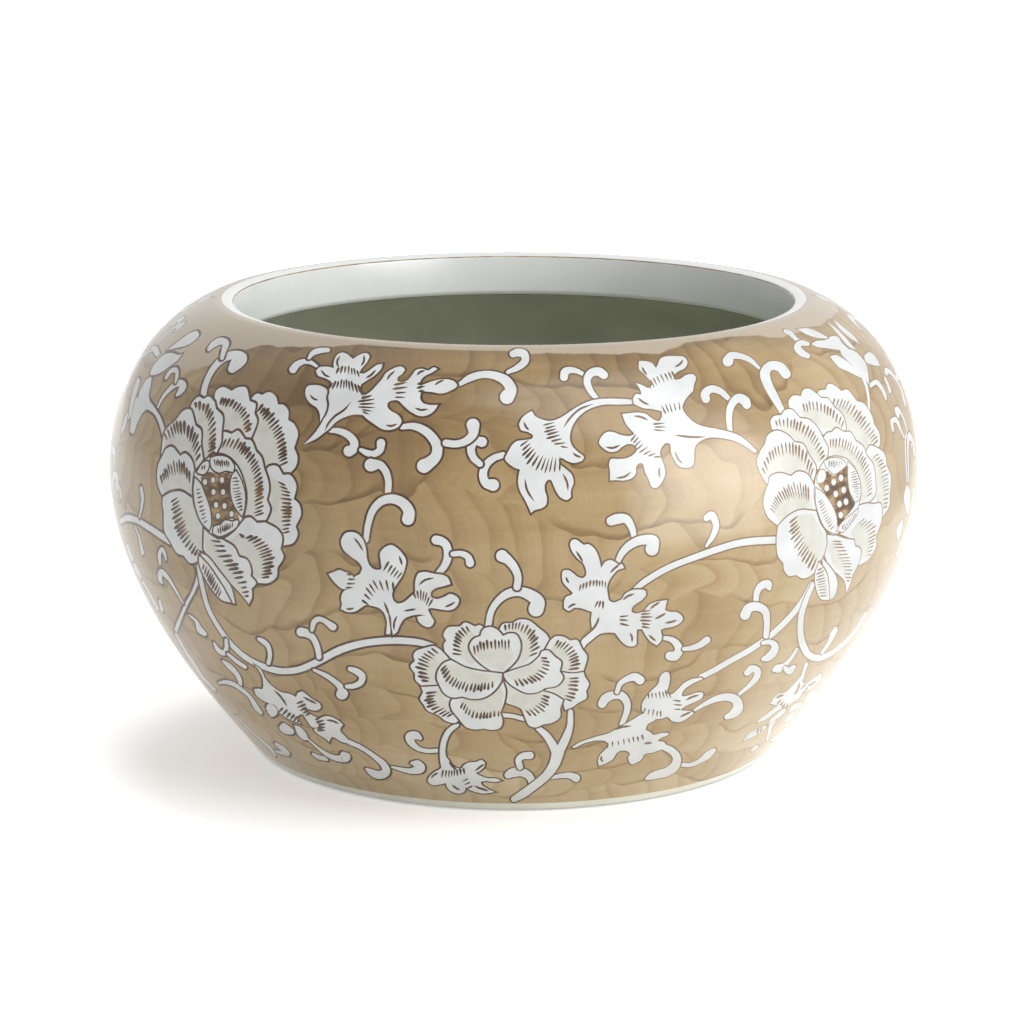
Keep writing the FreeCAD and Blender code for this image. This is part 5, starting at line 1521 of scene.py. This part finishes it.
def clouded(name, roughness, scale, detail, darker, lighter, limits=(0.3, 0.7)):
    """A paint that clouds between two near tones."""
    paint = Paint(name, roughness)
    paint.colour(paint.ramp(paint.noise(scale, detail), ((limits[0], darker), (limits[1], lighter))))
    return paint


def glazed(name, scale, darker, lighter, roughness=GLAZE_ROUGHNESS, detail=3):
    """A clouded paint under the glaze."""
    paint = clouded(name, roughness, scale, detail, darker, lighter)
    paint.glaze()
    return paint


def brown_outline():
    """Outlines and hatch strokes, dark where the brush was full, and paler towards the right as a painted
    sheen of the glaze.
    """
    tones = ((0.36, (62, 39, 18)), (0.52, (80, 54, 28)), (0.68, (116, 84, 48)))
    sheen_lightened_colour = tint(158, 130, 92)
    sheen_across = (-0.02, 0.12)
    sheen_share = 0.7
    paint = Paint("brown_outline", GLAZE_ROUGHNESS)
    drawn = paint.ramp(paint.noise(scale=130, detail=3), tones)
    # Painted sheen: lines are mixed towards a pale brown at the right, where the glaze reflects the lamps.
    sheen_lightened = paint.fade(paint.parts(paint.place)["X"], *sheen_across, 0.0, sheen_share)
    paint.colour(paint.mix(sheen_lightened, drawn, sheen_lightened_colour))
    paint.glaze()
    return paint


def brown_pod_field():
    """The mottled brown field of the seed pods."""
    tones = ((0.38, (84, 60, 36)), (0.5, (122, 92, 58)), (0.62, (178, 150, 108)))
    paint = Paint("brown_pod_field", GLAZE_ROUGHNESS)
    mottle = paint.noise(scale=150, detail=3, place=paint.stretched(1, 1, 2))
    paint.colour(paint.ramp(mottle, tones))
    paint.glaze()
    return paint


def bare_clay():
    paint = clouded("bare_foot_clay", roughness=0.8, scale=300, detail=4,
                    darker=(188, 178, 160), lighter=(212, 204, 188))
    paint.bump(paint.noise(scale=900, detail=3), strength=0.3, distance=0.0003)
    return paint


def plug_rubber():
    paint = clouded("plug_rubber", roughness=0.6, scale=400, detail=4,
                    darker=(58, 56, 52), lighter=(74, 72, 67))
    paint.bump(paint.noise(scale=1500), strength=0.3, distance=0.0002)
    return paint


def pad_felt():
    paint = clouded("pad_felt", roughness=0.95, scale=900, detail=4,
                    darker=(128, 120, 108), lighter=(158, 150, 138))
    paint.bump(paint.noise(scale=2500, detail=3), strength=0.6, distance=0.0004)
    return paint


paints = {
    GROUND: brown_wash(),
    WHITE: glazed("white_reserve", scale=90, darker=(214, 217, 216), lighter=(228, 231, 231)),
    CREAM: glazed("cream_petal_heart", scale=160, darker=(206, 205, 194), lighter=(219, 219, 211)),
    LINE: brown_outline(),
    FIELD: brown_pod_field(),
    LIP: glazed("white_lip_glaze", scale=40, darker=(238, 241, 238), lighter=(246, 248, 246)),
    RING_LINE: clouded("brown_rim_line", GLAZE_ROUGHNESS, scale=120, detail=3,
                       darker=(140, 114, 84), lighter=(186, 166, 138), limits=(0.35, 0.65)),
    # Painted shade: the inside glaze is given a greyer tone than the white lip, for the shade inside the
    # bowl.
    INSIDE: glazed("inside_glaze_painted_shade", scale=30, darker=(186, 189, 172), lighter=(203, 205, 190),
                   roughness=INSIDE_ROUGHNESS, detail=4),
    UNDER: bare_clay(),
    FOOT_BAND: glazed("pale_foot_band", scale=70, darker=(232, 233, 219), lighter=(243, 243, 234)),
}
for label in sorted(paints):
    shell.materials.append(paints[label].material)

rubber = plug_rubber()
felt = pad_felt()
for name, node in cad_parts.items():
    if name != "porcelain_body":
        node.data.materials.clear()
        node.data.materials.append((rubber if name == "drain_plug" else felt).material)


# Floor, lights and camera
FLOOR_LEFT, FLOOR_RIGHT = -4.0, 0.43
FLOOR_FRONT, FLOOR_BACK = -0.8, 8.0
FLOOR_ROUGHNESS = 0.9
FLOOR_COLOUR = (248, 248, 246)
SHADOW_MIDDLE = (-0.03, -0.04, 0)
SHADOW_REACH, SHADOW_END = 0.105, 0.15
SHADOW_GLOW, FLOOR_GLOW, FAR_GLOW = 0.4, 0.7, 0.16
FAR_START, FAR_END = 0.4, 1.1
BOUNCE_MIDDLE = (0.32, -0.2, 0)
BOUNCE_CORE, BOUNCE_REACH, BOUNCE_GLOW = 0.12, 0.42, 0.3
ROOM_LIGHT = 0.3
SEEN_ROOM_LIGHT = 1.0
WHITE_LIGHT = (1, 1, 1, 1)
LOOK_AT = Vector((0, 0, BODY_HEIGHT / 2))

# Soft lamps: name, place, width, height, brightness, whether they light the paint and the gloss
LAMPS = (
    ("right_softbox", (1.65, -0.95, 1.05), 1.4, 1.5, 2.55, True, True),
    ("right_wall", (1.9, 0.2, 0.5), 2.4, 2.0, 0.3, True, True),
    ("top_softbox", (0.5, -0.5, 1.6), 1.2, 1.2, 2.6, True, True),
    ("left_panel", (-0.62, -1.0, 0.1), 1.1, 0.4, 1.3, True, False),
    ("low_right_panel", (1.1, -1.3, 0.12), 1.4, 0.5, 2.2, True, False),
    ("back_panel", (-0.2, 1.7, 0.5), 1.4, 1.0, 2.0, True, False),
    ("right_sheen", (1.6, -1.25, 0.48), 1.5, 1.6, 5.6, False, True),
    ("far_right_sheen", (1.9, 0.2, 0.5), 2.4, 2.0, 2.4, False, True))


def pale_board():
    """The pale floor; its own glow shows to the camera and in reflections, and lights no paint."""
    paint = Paint("pale_board", FLOOR_ROUGHNESS)
    paint.colour(tint(*FLOOR_COLOUR))
    paint.shader.inputs["Specular IOR Level"].default_value = 0.0
    rays = paint.node("ShaderNodeLightPath").outputs
    seen = paint.maths("MAXIMUM", rays["Is Glossy Ray"], rays["Is Transmission Ray"])
    seen = paint.maths("MAXIMUM", rays["Is Camera Ray"], seen)
    # Painted light: the glow is weaker in a disc round the pot, where the cast shadow shows, and stronger far
    # off.
    away = paint.distance(SHADOW_MIDDLE)
    shine = paint.maths("ADD", paint.fade(away, SHADOW_REACH, SHADOW_END, SHADOW_GLOW, FLOOR_GLOW),
                        paint.fade(away, FAR_START, FAR_END, 0.0, FAR_GLOW))
    # Painted reflection: a patch of extra glow at the right front that only the glaze's reflections see.
    bounce = paint.fade(paint.distance(BOUNCE_MIDDLE), BOUNCE_CORE, BOUNCE_REACH, BOUNCE_GLOW, 0.0)
    glow = paint.plus(rays["Is Glossy Ray"], bounce, paint.times(seen, shine))
    paint.feed(paint.shader.inputs["Emission Strength"], glow)
    paint.shader.inputs["Emission Color"].default_value = WHITE_LIGHT
    return paint


def studio_world():
    """A white room that is bright where it is seen or mirrored, and lights the pot only a little."""
    world = bpy.data.worlds.new("studio")
    world.use_nodes = True
    nodes, links = world.node_tree.nodes, world.node_tree.links
    rays = nodes.new("ShaderNodeLightPath").outputs
    seen = None
    for kind in ("Is Camera Ray", "Is Glossy Ray", "Is Transmission Ray"):
        either = nodes.new("ShaderNodeMath")
        either.operation = "MAXIMUM"
        either.inputs[1].default_value = 0.0
        links.new(rays[kind], either.inputs[0])
        if seen:
            links.new(seen, either.inputs[1])
        seen = either.outputs[0]
    level = nodes.new("ShaderNodeMapRange")
    level.inputs["To Min"].default_value = ROOM_LIGHT
    level.inputs["To Max"].default_value = SEEN_ROOM_LIGHT
    links.new(seen, level.inputs["Value"])
    links.new(level.outputs[0], nodes["Background"].inputs["Strength"])
    nodes["Background"].inputs["Color"].default_value = WHITE_LIGHT
    return world


def softbox(name, place, wide, tall, brightness, on_paint, on_gloss):
    """A soft lamp aimed at the pot, lighting its paint or its gloss or both."""
    lamp = bpy.data.lights.new(name, "AREA")
    lamp.shape = "RECTANGLE"
    lamp.size, lamp.size_y = wide, tall
    lamp.energy = brightness * math.pi * wide * tall
    holder = bpy.data.objects.new(name, lamp)
    holder.location = place
    holder.rotation_euler = (LOOK_AT - Vector(place)).to_track_quat("-Z", "Y").to_euler()
    holder.visible_camera = False
    holder.visible_diffuse = on_paint
    holder.visible_glossy = on_gloss
    bpy.context.scene.collection.objects.link(holder)


def photo_camera():
    """The camera that sees the pot as the photo does."""
    camera = bpy.data.objects.new("camera", bpy.data.cameras.new("camera"))
    camera.data.sensor_width = SENSOR_WIDTH
    camera.data.lens = PIXELS_PER_METRE * VIEW_DISTANCE * SENSOR_WIDTH / PHOTO_SIDE
    camera.data.shift_x = -(AXIS_X - PHOTO_SIDE / 2) / PHOTO_SIDE
    camera.data.shift_y = (AXIS_Y - PHOTO_SIDE / 2) / PHOTO_SIDE
    camera.location = LOOK_AT + VIEW_DISTANCE * Vector((0, -math.cos(VIEW_RISE), math.sin(VIEW_RISE)))
    camera.rotation_euler = (QUARTER_TURN - VIEW_RISE, 0, 0)
    return camera


floor_mesh = bpy.data.meshes.new("floor")
floor_corners = [(FLOOR_LEFT, FLOOR_FRONT, 0), (FLOOR_RIGHT, FLOOR_FRONT, 0),
                 (FLOOR_RIGHT, FLOOR_BACK, 0), (FLOOR_LEFT, FLOOR_BACK, 0)]
floor_mesh.from_pydata(floor_corners, [], [(0, 1, 2, 3)])
floor_mesh.materials.append(pale_board().material)
floor = bpy.data.objects.new("floor", floor_mesh)
bpy.context.scene.collection.objects.link(floor)

bpy.context.scene.world = studio_world()
for lamp_row in LAMPS:
    softbox(*lamp_row)
camera = photo_camera()
bpy.context.scene.collection.objects.link(camera)
bpy.context.scene.camera = camera
bpy.context.scene.view_settings.view_transform = "Standard"
